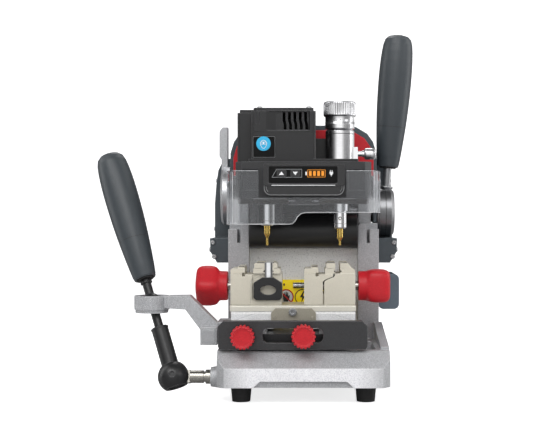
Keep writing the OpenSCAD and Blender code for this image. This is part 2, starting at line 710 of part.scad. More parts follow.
// ---- display and guard ----
module display_panel() color(panel_black) difference() {
  union() {
    slab_y(-76, -62) rounded_rect([-36,189.5], [73,19.8], 2);
    slab_y(-74, -62) rounded_rect([-36,180.6], [73,22], 7);
  }
  // recessed face and the button pockets
  slab_y(-77, -75.4) rounded_rect([-32,191.6], [62.5,16], 1);
  for (x=[button_up_x,button_down_x]) box([x-0.2,-77,197.2], [x+9,-73.8,203.8]);
}
module key_button(x) slab_y(-75.8, -74.6) rounded_rect([x,197.4], [8.8,6.2], 0.8);
module button_up() color(black) key_button(button_up_x);
module button_down() color(black) key_button(button_down_x);
module guard_plan(inset) offset(delta=-inset) polygon([[-68.6,-30],[-68.6,-74],[-63,-84],
  [63,-84],[68.6,-74],[68.6,-30]]);
module shield() color(clear) difference() {
  translate([0,0,155]) linear_extrude(48) difference() {
    guard_plan(0);
    guard_plan(2);
    translate([-66.6,-40]) square([133.2,12]);
  }
  // opening around the display
  box([-40,-90,179], [38,-77,205]);
  // raised right half of the lower edge
  slab_y(-90, -20) polygon([[-13,150],[-10,155.4],[-7.5,157.6],[-5.5,161.4],[-2.5,164.2],
    [2,165.4],[90,165.4],[90,150]]);
  // sloping side arms
  slab_x(-80, 80) polygon([[-20,150],[-66,150],[-66,168],[-52,184],[-20,184]]);
  slab_x(-80, 80) polygon([[-76,204],[-60,200.5],[-20,200.5],[-20,206]]);
  rod_x(-80, 80, 4.1, guard_y, guard_z);
}
module shield_screws() color(steel) both_sides() difference() {
  union() {
    rod_x(60, 68.8, 4, guard_y, guard_z);
    rod_x(68.7, 71, 8.6, guard_y, guard_z);
  }
  rod_x(70, 73, 4, guard_y, guard_z, $fn=6);
}

base_casting();
rubber_feet();
x_guide_rods();
z_guide_rods();
top_bridge();
cross_tube();
rear_cover();
rear_trim();
side_cover_left();
side_cover_right();
pictogram_plate();
tool_box();
x_lock_post();
power_switch();
x_carriage();
front_bar();
y_guide_rails();
y_lock_knob();
x_lock_knob();
table_plate();
vise_rail();
stop_bracket();
bracket_screw();
lever_arm();
left_vise_body();
right_vise_body();
key_blade();
key_bow();
left_moving_jaw();
right_moving_jaw();
left_vise_screw();
left_vise_knob();
right_vise_screw();
right_vise_knob();
stick_stub();
stick_socket();
stick_rod();
stick_grip();
head_casting();
z_rack();
motor_housing();
motor();
motor_rotor();
drive_belt();
spindle();
cutter();
micrometer_body();
micrometer_knob();
tracer_holder();
tracer_tip();
tracer_lock_screw();
display_panel();
button_up();
button_down();
shield();
shield_screws();
z_hub();
z_lever_rod();
z_grip();
z_lock_lever();
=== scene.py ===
"""Key-cutting machine: detailed parts and finishes over its CAD pieces, on a studio floor.

The machine stands on z = 0 with its front towards -Y; left and right (-X and +X) are as
seen from the front. Sizes and places of parts are in millimetres. Texture lengths, the
floor, the lights and the camera are in metres.
"""
import bpy
import bmesh
import math
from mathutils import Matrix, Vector

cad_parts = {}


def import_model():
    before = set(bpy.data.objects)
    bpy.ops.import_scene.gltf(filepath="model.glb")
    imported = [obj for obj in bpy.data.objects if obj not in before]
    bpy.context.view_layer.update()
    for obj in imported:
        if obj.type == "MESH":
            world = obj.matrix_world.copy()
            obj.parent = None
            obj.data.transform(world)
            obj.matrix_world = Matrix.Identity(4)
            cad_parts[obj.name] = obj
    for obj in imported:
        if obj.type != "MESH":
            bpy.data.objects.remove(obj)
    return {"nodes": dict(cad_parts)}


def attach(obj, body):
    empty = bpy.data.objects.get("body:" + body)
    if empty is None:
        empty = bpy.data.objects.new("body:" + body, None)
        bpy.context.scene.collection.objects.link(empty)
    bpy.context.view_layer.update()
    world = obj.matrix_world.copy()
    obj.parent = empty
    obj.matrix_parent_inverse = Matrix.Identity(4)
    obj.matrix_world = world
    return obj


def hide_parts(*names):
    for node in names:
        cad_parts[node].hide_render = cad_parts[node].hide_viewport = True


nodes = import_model()["nodes"]
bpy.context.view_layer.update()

MM = 0.001

# Driving places shared by several sections
TOOL_X = 33.8                       # cutter at -TOOL_X, tracer and micrometer at +TOOL_X
TOOL_Y = -35
HUB_Y, HUB_Z = 42, 166.5            # axis of the lift hub
STICK_PIVOT = Vector((-114.4, -90, 21))
LIFT_PIVOT = Vector((80.2, HUB_Y, HUB_Z))
STICK_DIR = Vector((-0.3074, 0.2782, 0.9100)).normalized()
LIFT_DIR = Vector((0.08368, 0, 0.99649)).normalized()

# Homes: the body a part rides on, and a slot name
HEAD_GLOSS = ("head", "gloss_black")
HEAD_DARK = ("head", "dark_paint")
HEAD_PLASTIC = ("head", "black_plastic")
YELLOW_PLATE = ("base", "yellow_label")
BASE_STEEL = ("base", "steel")
GUARD = ("guard", "clear_guard")
TABLE_STEEL = ("y_table", "steel")
LIFT_STEEL = ("lift_lever", "steel")


# ---------------------------------------------------------------- shader tools
class Graph:
    """Short forms for building a shader node tree."""

    def __init__(self, tree):
        self.tree = tree

    def node(self, kind, **settings):
        node = self.tree.nodes.new("ShaderNode" + kind)
        for setting, value in settings.items():
            setattr(node, setting, value)
        return node

    def feed(self, socket, value):
        """Sets a number or an RGB colour on a socket, or links another socket to it."""
        if isinstance(value, (int, float)):
            socket.default_value = value
        elif isinstance(value, tuple):
            socket.default_value = (*value, 1)
        else:
            self.tree.links.new(value, socket)

    def coord(self, scale=(1, 1, 1)):
        mapping = self.node("Mapping")
        mapping.inputs["Scale"].default_value = scale
        self.feed(mapping.inputs["Vector"], self.node("TexCoord").outputs["Object"])
        return mapping.outputs[0]

    def noise(self, vector, scale, detail=3, rough=0.6):
        node = self.node("TexNoise")
        self.feed(node.inputs["Scale"], scale)
        self.feed(node.inputs["Detail"], detail)
        self.feed(node.inputs["Roughness"], rough)
        self.feed(node.inputs["Vector"], vector)
        return node.outputs["Fac"]

    def ramp(self, factor, stops):
        """Colour ramp; each stop is (position, RGB colour or grey level)."""
        node = self.node("ValToRGB")
        elements = node.color_ramp.elements
        while len(elements) < len(stops):
            elements.new(0.5)
        for element, (position, colour) in zip(elements, stops):
            element.position = position
            element.color = (*colour, 1) if isinstance(colour, tuple) else (*[colour] * 3, 1)
        self.feed(node.inputs[0], factor)
        return node.outputs[0]

    def math(self, operation, first, second=None, clamp=False):
        node = self.node("Math", operation=operation, use_clamp=clamp)
        self.feed(node.inputs[0], first)
        if second is not None:
            self.feed(node.inputs[1], second)
        return node.outputs[0]

    def mix(self, factor, first, second, blend="MIX"):
        node = self.node("Mix", data_type="RGBA", blend_type=blend)
        for index, value in ((0, factor), (6, first), (7, second)):
            self.feed(node.inputs[index], value)
        return node.outputs[2]

    def mix_shader(self, factor, first, second):
        node = self.node("MixShader")
        for index, value in enumerate((factor, first, second)):
            self.feed(node.inputs[index], value)
        return node.outputs[0]

    def bump(self, height, strength, depth):
        node = self.node("Bump")
        self.feed(node.inputs["Strength"], strength)
        self.feed(node.inputs["Distance"], depth)
        self.feed(node.inputs["Height"], height)
        return node

    def split(self, vector):
        node = self.node("SeparateXYZ")
        self.feed(node.inputs[0], vector)
        return node.outputs

    def azimuth(self, direction):
        """Compass angle of a split direction as 0 to 1, with 0.5 towards the front."""
        angle = self.math("ARCTAN2", direction[0], self.math("MULTIPLY", direction[1], -1.0))
        return self.math("ADD", self.math("MULTIPLY", angle, 0.5 / math.pi), 0.5, True)


def blank_material(name):
    material = bpy.data.materials.new(name)
    material.use_nodes = True
    material.node_tree.nodes.clear()
    graph = Graph(material.node_tree)
    return material, graph, graph.node("OutputMaterial").inputs[0]


def principled(name):
    material, g, output = blank_material(name)
    bsdf = g.node("BsdfPrincipled")
    g.feed(output, bsdf.outputs[0])
    return material, g, bsdf


def reopen(name):
    """Graph and principled node of a surface made earlier."""
    tree = MATERIALS[name].node_tree
    return Graph(tree), next(n for n in tree.nodes if n.type == "BSDF_PRINCIPLED")


def edge_wear(g, rounded_normal):
    """0 on flats, rising to 1 on sharp edges."""
    dot = g.node("VectorMath", operation="DOT_PRODUCT")
    g.feed(dot.inputs[0], rounded_normal)
    g.feed(dot.inputs[1], g.node("NewGeometry").outputs["Normal"])
    turn = g.math("SUBTRACT", 1.0, dot.outputs["Value"], True)
    return g.math("MULTIPLY", turn, 5.0, True)


def surface(name, colour, rough, metal, grain, grain_contrast, bump, bump_scale,
            edge_colour, edge_radius, coat=0.0, rough_spread=0.12, bump_depth=0.0003,
            specular=0.5, specks=None, brushed=0.0):
    """Fine-grained surface with faint darker clouds and, if given, lighter worn edges."""
    material, g, bsdf = principled(name)
    fine = g.noise(g.coord(), scale=grain)
    clouds = g.noise(g.coord(), scale=14)
    low = tuple(c * (1 - grain_contrast * 2) for c in colour)
    high = tuple(min(1, c * (1 + grain_contrast * 2)) for c in colour)
    cloud_shade = tuple(c * 0.9 for c in colour)
    base = g.mix(g.ramp(clouds, [(0.42, 0), (0.7, 0.5)]),
                 g.ramp(fine, [(0.25, low), (0.75, high)]), cloud_shade)
    if specks:
        speck_scale, speck_size, speck_colour = specks
        cells = g.node("TexVoronoi")
        g.feed(cells.inputs["Scale"], speck_scale)
        g.feed(cells.inputs["Vector"], g.coord())
        spots = g.ramp(cells.outputs["Distance"], [(speck_size, 1), (speck_size + 0.1, 0)])
        base = g.mix(spots, base, speck_colour)
    bevel = g.node("Bevel", samples=4)
    g.feed(bevel.inputs["Radius"], edge_radius)
    if edge_colour:
        base = g.mix(edge_wear(g, bevel.outputs[0]), base, edge_colour)
    g.feed(bsdf.inputs["Base Color"], base)

    fine_part = g.math("MULTIPLY", g.math("SUBTRACT", fine, 0.5), rough_spread * 2)
    cloud_part = g.math("MULTIPLY", g.math("SUBTRACT", clouds, 0.5), rough_spread)
    roughness = g.math("ADD", g.math("ADD", fine_part, rough, True), cloud_part, True)
    for socket, value in (("Roughness", roughness), ("Metallic", metal),
                          ("Specular IOR Level", specular), ("Coat Weight", coat),
                          ("Coat Roughness", 0.08), ("Anisotropic", brushed)):
        g.feed(bsdf.inputs[socket], value)
    relief = g.bump(g.noise(g.coord(), scale=bump_scale), strength=bump, depth=bump_depth)
    g.feed(relief.inputs["Normal"], bevel.outputs[0])
    g.feed(bsdf.inputs["Normal"], relief.outputs[0])
    return material


# ------------------------------------------------------------------- materials
# name, colour, roughness, metallic, grain scale, grain contrast, bump strength, bump scale,
# worn edge colour (None for no wear), edge radius in metres
SURFACES = [
    ("sand_silver", (0.44, 0.445, 0.46), 0.42, 0.45, 1150, 0.22, 0.75, 1250,
     (0.74, 0.74, 0.76), 0.0009),
    ("machined_silver", (0.50, 0.505, 0.52), 0.33, 0.85, 900, 0.10, 0.3, 1400,
     (0.78, 0.78, 0.79), 0.0008),
    # painted light: the table plate's silver is the base's paint made much lighter, for its
    # brightly lit top
    ("table_silver_painted_light", (0.86, 0.865, 0.88), 0.42, 0.15, 1000, 0.14, 0.4, 1400,
     (0.85, 0.85, 0.86), 0.0006),
    ("dark_cast", (0.040, 0.040, 0.042), 0.40, 0.3, 1100, 0.12, 0.2, 1500,
     (0.15, 0.15, 0.155), 0.0009),
    ("bar_paint", (0.036, 0.036, 0.038), 0.36, 0.15, 1100, 0.16, 0.35, 1500,
     (0.16, 0.16, 0.165), 0.0009),
    ("slate_plastic", (0.050, 0.062, 0.072), 0.38, 0.0, 1400, 0.08, 0.2, 1800,
     (0.17, 0.20, 0.22), 0.0012),
    ("grip_plastic", (0.040, 0.048, 0.055), 0.40, 0.0, 1400, 0.08, 0.3, 1900,
     (0.12, 0.135, 0.145), 0.0012),
    ("black_plastic", (0.014, 0.014, 0.015), 0.34, 0.0, 1400, 0.1, 0.2, 1800,
     (0.085, 0.085, 0.09), 0.0010),
    ("gloss_black", (0.008, 0.008, 0.009), 0.10, 0.0, 600, 0.1, 0.03, 800,
     (0.07, 0.07, 0.075), 0.0008),
    ("red_plastic", (0.50, 0.014, 0.022), 0.40, 0.0, 1000, 0.09, 0.25, 1500,
     (0.72, 0.08, 0.10), 0.0010),
    ("cream_jaws", (0.64, 0.60, 0.50), 0.40, 0.12, 1200, 0.03, 0.10, 1500,
     (0.92, 0.89, 0.80), 0.0006),
    ("rail_cream", (0.78, 0.75, 0.66), 0.33, 0.35, 1100, 0.04, 0.15, 1500,
     (0.95, 0.93, 0.86), 0.0007),
    ("bracket_sand", (0.40, 0.37, 0.30), 0.40, 0.45, 1100, 0.06, 0.2, 1500,
     (0.75, 0.72, 0.63), 0.0006),
    ("turned_steel", (0.46, 0.44, 0.40), 0.25, 1.0, 500, 0.06, 0.12, 900,
     (0.75, 0.74, 0.72), 0.0006),
    ("hub_steel", (0.42, 0.425, 0.435), 0.30, 1.0, 500, 0.08, 0.15, 900,
     (0.75, 0.75, 0.76), 0.0008),
    ("hub_dark_steel", (0.27, 0.272, 0.28), 0.32, 1.0, 500, 0.08, 0.15, 900,
     (0.70, 0.70, 0.71), 0.0008),
    ("blade_steel", (0.42, 0.42, 0.425), 0.35, 0.6, 700, 0.05, 0.03, 900, None, 0.0006),
    ("chrome", (0.50, 0.50, 0.515), 0.20, 1.0, 400, 0.05, 0.02, 900,
     (0.85, 0.85, 0.86), 0.0005),
    ("gold_tool", (0.72, 0.50, 0.14), 0.24, 1.0, 500, 0.05, 0.06, 900,
     (0.95, 0.82, 0.45), 0.0003),
    ("rubber", (0.012, 0.012, 0.012), 0.6, 0.0, 900, 0.2, 0.3, 1400,
     (0.04, 0.04, 0.04), 0.001),
    ("label_yellow", (1.0, 0.72, 0.0), 0.35, 0.0, 900, 0.03, 0.05, 900, None, 0.0006),
    ("box_blue_grey", (0.10, 0.13, 0.16), 0.45, 0.0, 1400, 0.08, 0.25, 1800,
     (0.26, 0.31, 0.36), 0.0012),
    ("icon_orange", (0.95, 0.33, 0.02), 0.4, 0.0, 700, 0.02, 0.02, 700, None, 0.0006),
    ("icon_white", (0.85, 0.86, 0.87), 0.4, 0.0, 700, 0.02, 0.02, 700, None, 0.0006),
    ("icon_grey", (0.35, 0.36, 0.37), 0.4, 0.0, 700, 0.02, 0.02, 700, None, 0.0006),
    ("icon_blue", (0.02, 0.42, 0.72), 0.35, 0.0, 700, 0.03, 0.02, 700, None, 0.0006),
    ("ink_black", (0.02, 0.02, 0.02), 0.4, 0.0, 700, 0.02, 0.02, 700, None, 0.0006),
    ("ink_red", (0.65, 0.03, 0.03), 0.4, 0.0, 700, 0.02, 0.02, 700, None, 0.0006),
    ("label_black", (0.006, 0.006, 0.006), 0.3, 0.0, 700, 0.05, 0.02, 700, None, 0.0006),
    ("edge_highlight", (0.24, 0.242, 0.246), 0.3, 0.0, 700, 0.05, 0.05, 900, None, 0.0006),
]
SURFACE_EXTRAS = {
    # specks: scale, size, colour
    "sand_silver": dict(specks=(1300, 0.17, (0.86, 0.86, 0.88)), bump_depth=0.0005,
                        rough_spread=0.3),
    "gloss_black": dict(coat=0.5, rough_spread=0.05),
    "red_plastic": dict(specular=0.3),
    "turned_steel": dict(brushed=0.4),
    "hub_steel": dict(brushed=0.5),
    "hub_dark_steel": dict(brushed=0.5),
    "chrome": dict(rough_spread=0.06, brushed=0.3),
    "label_yellow": dict(coat=0.3),
    "icon_blue": dict(coat=0.2),
    "label_black": dict(specular=0.12, rough_spread=0.04),
    "edge_highlight": dict(coat=0.2),
}
MATERIALS = {row[0]: surface(*row, **SURFACE_EXTRAS.get(row[0], {})) for row in SURFACES}


def paint_light_on_silver():
    """Painted light on the silver paint: a lighter, less metallic colour on the column's flat wall,
    which gets little lamp light, and a painted highlight on the foot's upright front.
    """
    g, bsdf = reopen("sand_silver")
    base = bsdf.inputs["Base Color"].links[0].from_socket
    x, y, z = g.split(g.coord())
    # the wall lies within these limits
    in_y = g.math("MULTIPLY", g.math("GREATER_THAN", y, 0.0105), g.math("LESS_THAN", y, 0.03))
    in_x = g.math("LESS_THAN", g.math("ABSOLUTE", x), 0.0585)
    in_z = g.math("LESS_THAN", z, 0.133)
    wall = g.math("MULTIPLY", g.math("MULTIPLY", in_y, in_x), in_z)
    # painted light: the wall is made much lighter than the paint, in place of lamp light it does
    # not get
    wall_painted_light = g.ramp(g.noise(g.coord(), scale=760, detail=2, rough=0.7),
                       [(0.30, (0.66, 0.66, 0.665)), (0.46, (0.97, 0.97, 0.975)), (0.66, 1.0)])
    base = g.mix(wall, base, wall_painted_light)
    # painted shade: the highlight on the foot's front gives way to darker colour towards its
    # corners
    foot_corner_painted_shade = g.ramp(g.math("MULTIPLY", g.math("ABSOLUTE", x), 10),
                         [(0.46, 1), (0.60, 0.6), (0.69, 0.25)])
    foot = g.math("MULTIPLY", g.math("LESS_THAN", y, -0.1146), foot_corner_painted_shade)
    # painted highlight on the foot's front, lighter than the paint
    foot_painted_highlight = g.ramp(g.noise(g.coord(), scale=1700, detail=2, rough=0.7),
                       [(0.34, (0.56, 0.56, 0.60)), (0.50, (0.84, 0.84, 0.86)),
                        (0.7, (0.92, 0.92, 0.93))])
    g.feed(bsdf.inputs["Base Color"], g.mix(foot, base, foot_painted_highlight))
    drop = g.math("MULTIPLY", g.math("ADD", wall, foot, True), 0.40)
    metallic = bsdf.inputs["Metallic"]
    g.feed(metallic, g.math("SUBTRACT", metallic.default_value, drop))


def paint_yellow_glow():
    """Painted light: the yellow label gives off a little of its own colour, to look brighter than
    its lighting makes it.
    """
    g, bsdf = reopen("label_yellow")
    g.feed(bsdf.inputs["Emission Color"], bsdf.inputs["Base Color"].links[0].from_socket)
    g.feed(bsdf.inputs["Emission Strength"], 0.22)


def paint_chrome_reflections():
    """Painted reflection: chrome gives off bright streaks and keeps a dark flank by the direction
    it reflects, standing in for the soft boxes it would mirror.
    """
    g, bsdf = reopen("chrome")
    reflected = g.split(g.node("TexCoord").outputs["Reflection"])
    streaks = g.ramp(g.azimuth(reflected), [
        (0.0, 0.0), (0.30, 0.0), (0.38, 0.10), (0.44, 0.62), (0.53, 0.66), (0.60, 0.16),
        (0.66, 0.08), (0.76, 0.22), (0.84, 0.55), (0.95, 0.50), (1.0, 0.0)])
    level = g.math("SUBTRACT", 1.0, g.math("ABSOLUTE", reflected[2]), True)
    turning = g.ramp(g.noise(g.coord((1, 1, 14)), scale=260, detail=2, rough=0.5),
                     [(0.3, 0.86), (0.7, 1.0)])
    # the painted reflection is given off as light, broken faintly by turning marks
    g.feed(bsdf.inputs["Emission Color"], g.mix(1.0, streaks, turning, blend="MULTIPLY"))
    g.feed(bsdf.inputs["Emission Strength"], g.math("POWER", level, 1.5))


def smoky_clear():
    """Clear plastic with a faint smoky tint, and a painted sheen at the bent sides and along the
    lower half, where they catch the light.
    """
    material, g, output = blank_material("smoky_clear")
    where = g.coord()
    clear = g.node("BsdfTransparent")
    g.feed(clear.inputs[0], g.ramp(g.noise(where, scale=22, rough=0.5),
                                   [(0.3, (0.82, 0.83, 0.84)), (0.7, (0.90, 0.91, 0.92))]))
    smoke_and_sheen_diffuse = g.node("BsdfDiffuse")
    g.feed(smoke_and_sheen_diffuse.inputs[0], (0.62, 0.63, 0.645))
    gloss = g.node("BsdfGlossy")
    g.feed(gloss.inputs[0], (0.9, 0.9, 0.92))
    g.feed(gloss.inputs["Roughness"], g.ramp(g.noise(where, scale=160),
                                             [(0.3, 0.04), (0.8, 0.12)]))
    waves = g.bump(g.noise(where, scale=45, detail=2, rough=0.5), strength=0.06, depth=0.0004)
    for shader in (smoke_and_sheen_diffuse, gloss):
        g.feed(shader.inputs["Normal"], waves.outputs[0])
    x, _, z = g.split(where)
    # painted sheen: milky colour where the bent sides and lower half catch the light
    sides = g.ramp(g.math("MULTIPLY", g.math("ABSOLUTE", x), 10),
                   [(0.555, 0), (0.60, 1), (0.66, 0.8), (0.70, 0.5)])
    lower = g.ramp(g.math("MULTIPLY", z, 4), [(0.705, 1), (0.722, 0.22), (0.82, 0.1)])
    painted_sheen = g.math("MULTIPLY", g.math("MULTIPLY", sides, lower), 0.36)
    smoke_and_painted_sheen = g.mix_shader(g.math("ADD", painted_sheen, 0.045, True), clear.outputs[0], smoke_and_sheen_diffuse.outputs[0])
    fresnel = g.node("Fresnel")
    g.feed(fresnel.inputs["IOR"], 1.45)
    shine = g.math("MULTIPLY", fresnel.outputs[0], 0.7, True)
    seen = g.mix_shader(shine, smoke_and_painted_sheen, gloss.outputs[0])
    shadow_ray = g.node("LightPath").outputs["Is Shadow Ray"]
    g.feed(output, g.mix_shader(shadow_ray, seen, clear.outputs[0]))
    return material


def guard_edge_highlight():
    # painted highlight: pale, half-clear colour for the guard's edges, where they catch the light
    material, g, bsdf = principled("guard_edge_highlight")
    cloud = g.noise(g.coord(), scale=120)
    g.feed(bsdf.inputs["Base Color"],
           g.ramp(cloud, [(0.3, (0.55, 0.56, 0.57)), (0.7, (0.80, 0.81, 0.82))]))
    g.feed(bsdf.inputs["Roughness"], 0.15)
    g.feed(bsdf.inputs["Alpha"], g.ramp(cloud, [(0.3, 0.35), (0.7, 0.62)]))
    return material


paint_light_on_silver()
paint_yellow_glow()
paint_chrome_reflections()
MATERIALS["smoky_clear"] = smoky_clear()
MATERIALS["guard_edge_highlight"] = guard_edge_highlight()

# Material -> the CAD pieces that wear it
PIECES = {
    "sand_silver": "base_casting top_bridge lever_arm",
    "machined_silver": "z_lock_lever",
    # the table plate wears the lighter, painted-light copy of the silver paint
    "table_silver_painted_light": "table_plate",
    "dark_cast": "head_casting",
    "bar_paint": "x_lock_post x_carriage front_bar",
    "slate_plastic": "rear_cover side_cover_left side_cover_right",
    "grip_plastic": "stick_grip z_grip",
    "black_plastic": "cross_tube key_bow stick_socket stick_rod motor_housing",
    "gloss_black": "power_switch display_panel button_up button_down",
    "red_plastic": "rear_trim y_lock_knob x_lock_knob left_vise_knob right_vise_knob",
    "cream_jaws": "left_vise_body right_vise_body left_moving_jaw right_moving_jaw",
    "rail_cream": "vise_rail",
    "bracket_sand": "stop_bracket",
    "turned_steel": "left_vise_screw right_vise_screw stick_stub z_rack motor motor_rotor",
    "hub_steel": "x_guide_rods z_guide_rods y_guide_rails bracket_screw shield_screws z_lever_rod",
    "hub_dark_steel": "z_hub",
    "blade_steel": "key_blade",
    "chrome": "spindle micrometer_body micrometer_knob tracer_holder tracer_lock_screw",
    "gold_tool": "cutter tracer_tip",
    "rubber": "rubber_feet drive_belt",
    "label_yellow": "pictogram_plate",
    "box_blue_grey": "tool_box",
    "smoky_clear": "shield",
}
piece_material = {piece: name for name, pieces in PIECES.items() for piece in pieces.split()}
for piece, obj in nodes.items():
    obj.data.materials.clear()
    obj.data.materials.append(MATERIALS[piece_material[piece]])


# ------------------------------------------------------------------ mesh tools
def link_object(name, data):
    obj = bpy.data.objects.new(name, data)
    bpy.context.scene.collection.objects.link(obj)
    return obj


def new_mesh(name, verts, faces):
    """Mesh from vertices in millimetres."""
    mesh = bpy.data.meshes.new(name)
    mesh.from_pydata([tuple(c * MM for c in vert) for vert in verts], [], faces)
    return mesh


def shade_smooth(mesh):
    for polygon in mesh.polygons:
        polygon.use_smooth = True


def fix_normals(mesh, merge=False):
    bm = bmesh.new()
    bm.from_mesh(mesh)
    if merge:
        bmesh.ops.remove_doubles(bm, verts=bm.verts, dist=1e-7)
    bmesh.ops.recalc_face_normals(bm, faces=bm.faces)
    bm.to_mesh(mesh)
    bm.free()


def add_part(name, mesh, home):
    obj = link_object(name, mesh)
    body, slot = home
    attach(obj, body)
    return obj


def mesh_part(name, verts, faces, material, home, smooth=False):
    mesh = new_mesh(name, verts, faces)
    mesh.materials.append(MATERIALS[material])
    if smooth:
        shade_smooth(mesh)
    return add_part(name, mesh, home)


def slab(name, outline, front, back, material, home, bevel=0.0):
    """Outline of (x, z) points, thick from y = front to y = back."""
    n = len(outline)
    doubled_area = sum(outline[i][0] * outline[(i + 1) % n][1]
                       - outline[(i + 1) % n][0] * outline[i][1] for i in range(n))
    if doubled_area < 0:
        outline = outline[::-1]
    verts = [(x, y, z) for y in (front, back) for x, z in outline]
    faces = [tuple(range(n)), tuple(range(2 * n - 1, n - 1, -1))]
    faces += [(i, i + n, (i + 1) % n + n, (i + 1) % n) for i in range(n)]
    obj = mesh_part(name, verts, faces, material, home)
    if bevel:
        modifier = obj.modifiers.new("edge", "BEVEL")
        modifier.width = bevel * MM
        modifier.segments = 2
        modifier.limit_method = "ANGLE"
        modifier.angle_limit = math.radians(40)


def loop_slab(name, outer, inner, front, back, material, home):
    """Closed band between two (x, z) loops of equal count."""
    n = len(outer)
    verts = [(x, y, z) for y in (front, back) for loop in (outer, inner) for x, z in loop]
    faces = []
    for i in range(n):
        j = (i + 1) % n
        faces += [(i, j, n + j, n + i), (2 * n + i, 3 * n + i, 3 * n + j, 2 * n + j),
                  (i, 2 * n + i, 2 * n + j, j), (n + i, n + j, 3 * n + j, 3 * n + i)]
    mesh_part(name, verts, faces, material, home)


def circle(cx, cy, r, n):
    angles = [2 * math.pi * i / n for i in range(n)]
    return [(cx + r * math.cos(a), cy + r * math.sin(a)) for a in angles]


def round_rect(x0, z0, x1, z1, r, n=5):
    points = []
    for cx, cz, start in ((x1 - r, z1 - r, 0), (x0 + r, z1 - r, 90),
                          (x0 + r, z0 + r, 180), (x1 - r, z0 + r, 270)):
        for i in range(n + 1):
            a = math.radians(start + 90 * i / n)
            points.append((cx + r * math.cos(a), cz + r * math.sin(a)))
    return points


def inset(outline, distance):
    """Inset of a convex outline listed counter-clockwise."""
    n = len(outline)
    result = []
    for i in range(n):
        before, point, after = (Vector(outline[k]) for k in (i - 1, i, (i + 1) % n))
        edge_in, edge_out = point - before, after - point
        normal_in = Vector((-edge_in.y, edge_in.x)).normalized()
        normal_out = Vector((-edge_out.y, edge_out.x)).normalized()
        mitre = normal_in + normal_out
        mitre = mitre / max(0.3, mitre.length_squared / 2)
        result.append(tuple(point + mitre * distance))
    return result


def lathe(name, profile, origin, axis, material, home, seg=48, sharp=30):
    """Revolves (radius, distance along axis) about an axis through the origin point."""
    turn = Vector((0, 0, 1)).rotation_difference(Vector(axis).normalized())
    verts, faces = [], []
    n = len(profile)
    for k in range(seg):
        a = 2 * math.pi * k / seg
        for r, t in profile:
            v = turn @ Vector((r * math.cos(a), r * math.sin(a), t))
            verts.append((origin[0] + v.x, origin[1] + v.y, origin[2] + v.z))
        k2 = (k + 1) % seg
        for i in range(n - 1):
            faces.append((k * n + i, k2 * n + i, k2 * n + i + 1, k * n + i + 1))
    mesh = new_mesh(name, verts, faces)
    fix_normals(mesh, merge=True)
    mesh.materials.append(MATERIALS[material])
    shade_smooth(mesh)
    mesh.set_sharp_from_angle(angle=math.radians(sharp))
    return add_part(name, mesh, home)


def ring_skin(name, verts, seg, material, home, sharp, caps, closed=False):
    """Smooth skin over rings of seg vertices; caps lists the rings ("first", "last") to fill."""
    rings = len(verts) // seg
    faces = []
    for j in range(rings if closed else rings - 1):
        a, b = j * seg, (j + 1) % rings * seg
        for i in range(seg):
            i2 = (i + 1) % seg
            faces.append((a + i, a + i2, b + i2, b + i))
    for cap in caps:
        first = tuple(range(seg))[::-1]
        faces.append(first if cap == "first" else tuple(range((rings - 1) * seg, rings * seg)))
    obj = mesh_part(name, verts, faces, material, home, smooth=True)
    fix_normals(obj.data)
    obj.data.set_sharp_from_angle(angle=math.radians(sharp))
    return obj


def tube(name, points, r, material, home, seg=8, closed=False):
    """Round tube swept along a line of points."""
    path = [Vector(p) for p in points]
    n = len(path)
    verts = []
    up = None
    for i, point in enumerate(path):
        before = path[i - 1] if i > 0 or closed else point
        after = path[(i + 1) % n] if i < n - 1 or closed else point
        along = (after - before).normalized()
        if up is None:
            up = along.orthogonal().normalized()
        up = (up - along * up.dot(along)).normalized()
        side = along.cross(up)
        for k in range(seg):
            a = 2 * math.pi * k / seg
            verts.append(point + (up * math.cos(a) + side * math.sin(a)) * r)
    ring_skin(name, verts, seg, material, home, sharp=60,
              caps=() if closed else ("first", "last"), closed=closed)


def screw(name, place, axis, r, material="hub_steel", home=BASE_STEEL):
    """Button head screw with a round socket; the head's base is at place."""
    height = r * 0.75
    socket = r * 0.55
    profile = [(0, -0.3), (r * 0.98, -0.3), (r, height * 0.35), (r * 0.93, height * 0.7),
               (r * 0.78, height * 0.93), (r * 0.6, height), (socket, height),
               (socket * 0.96, height * 0.35), (0, height * 0.3)]
    lathe(name, profile, place, axis, material, home, seg=36, sharp=35)


def screws(prefix, places, axis, r, home=BASE_STEEL):
    for i, place in enumerate(places):
        screw(f"{prefix}_{i}", place, axis, r, home=home)


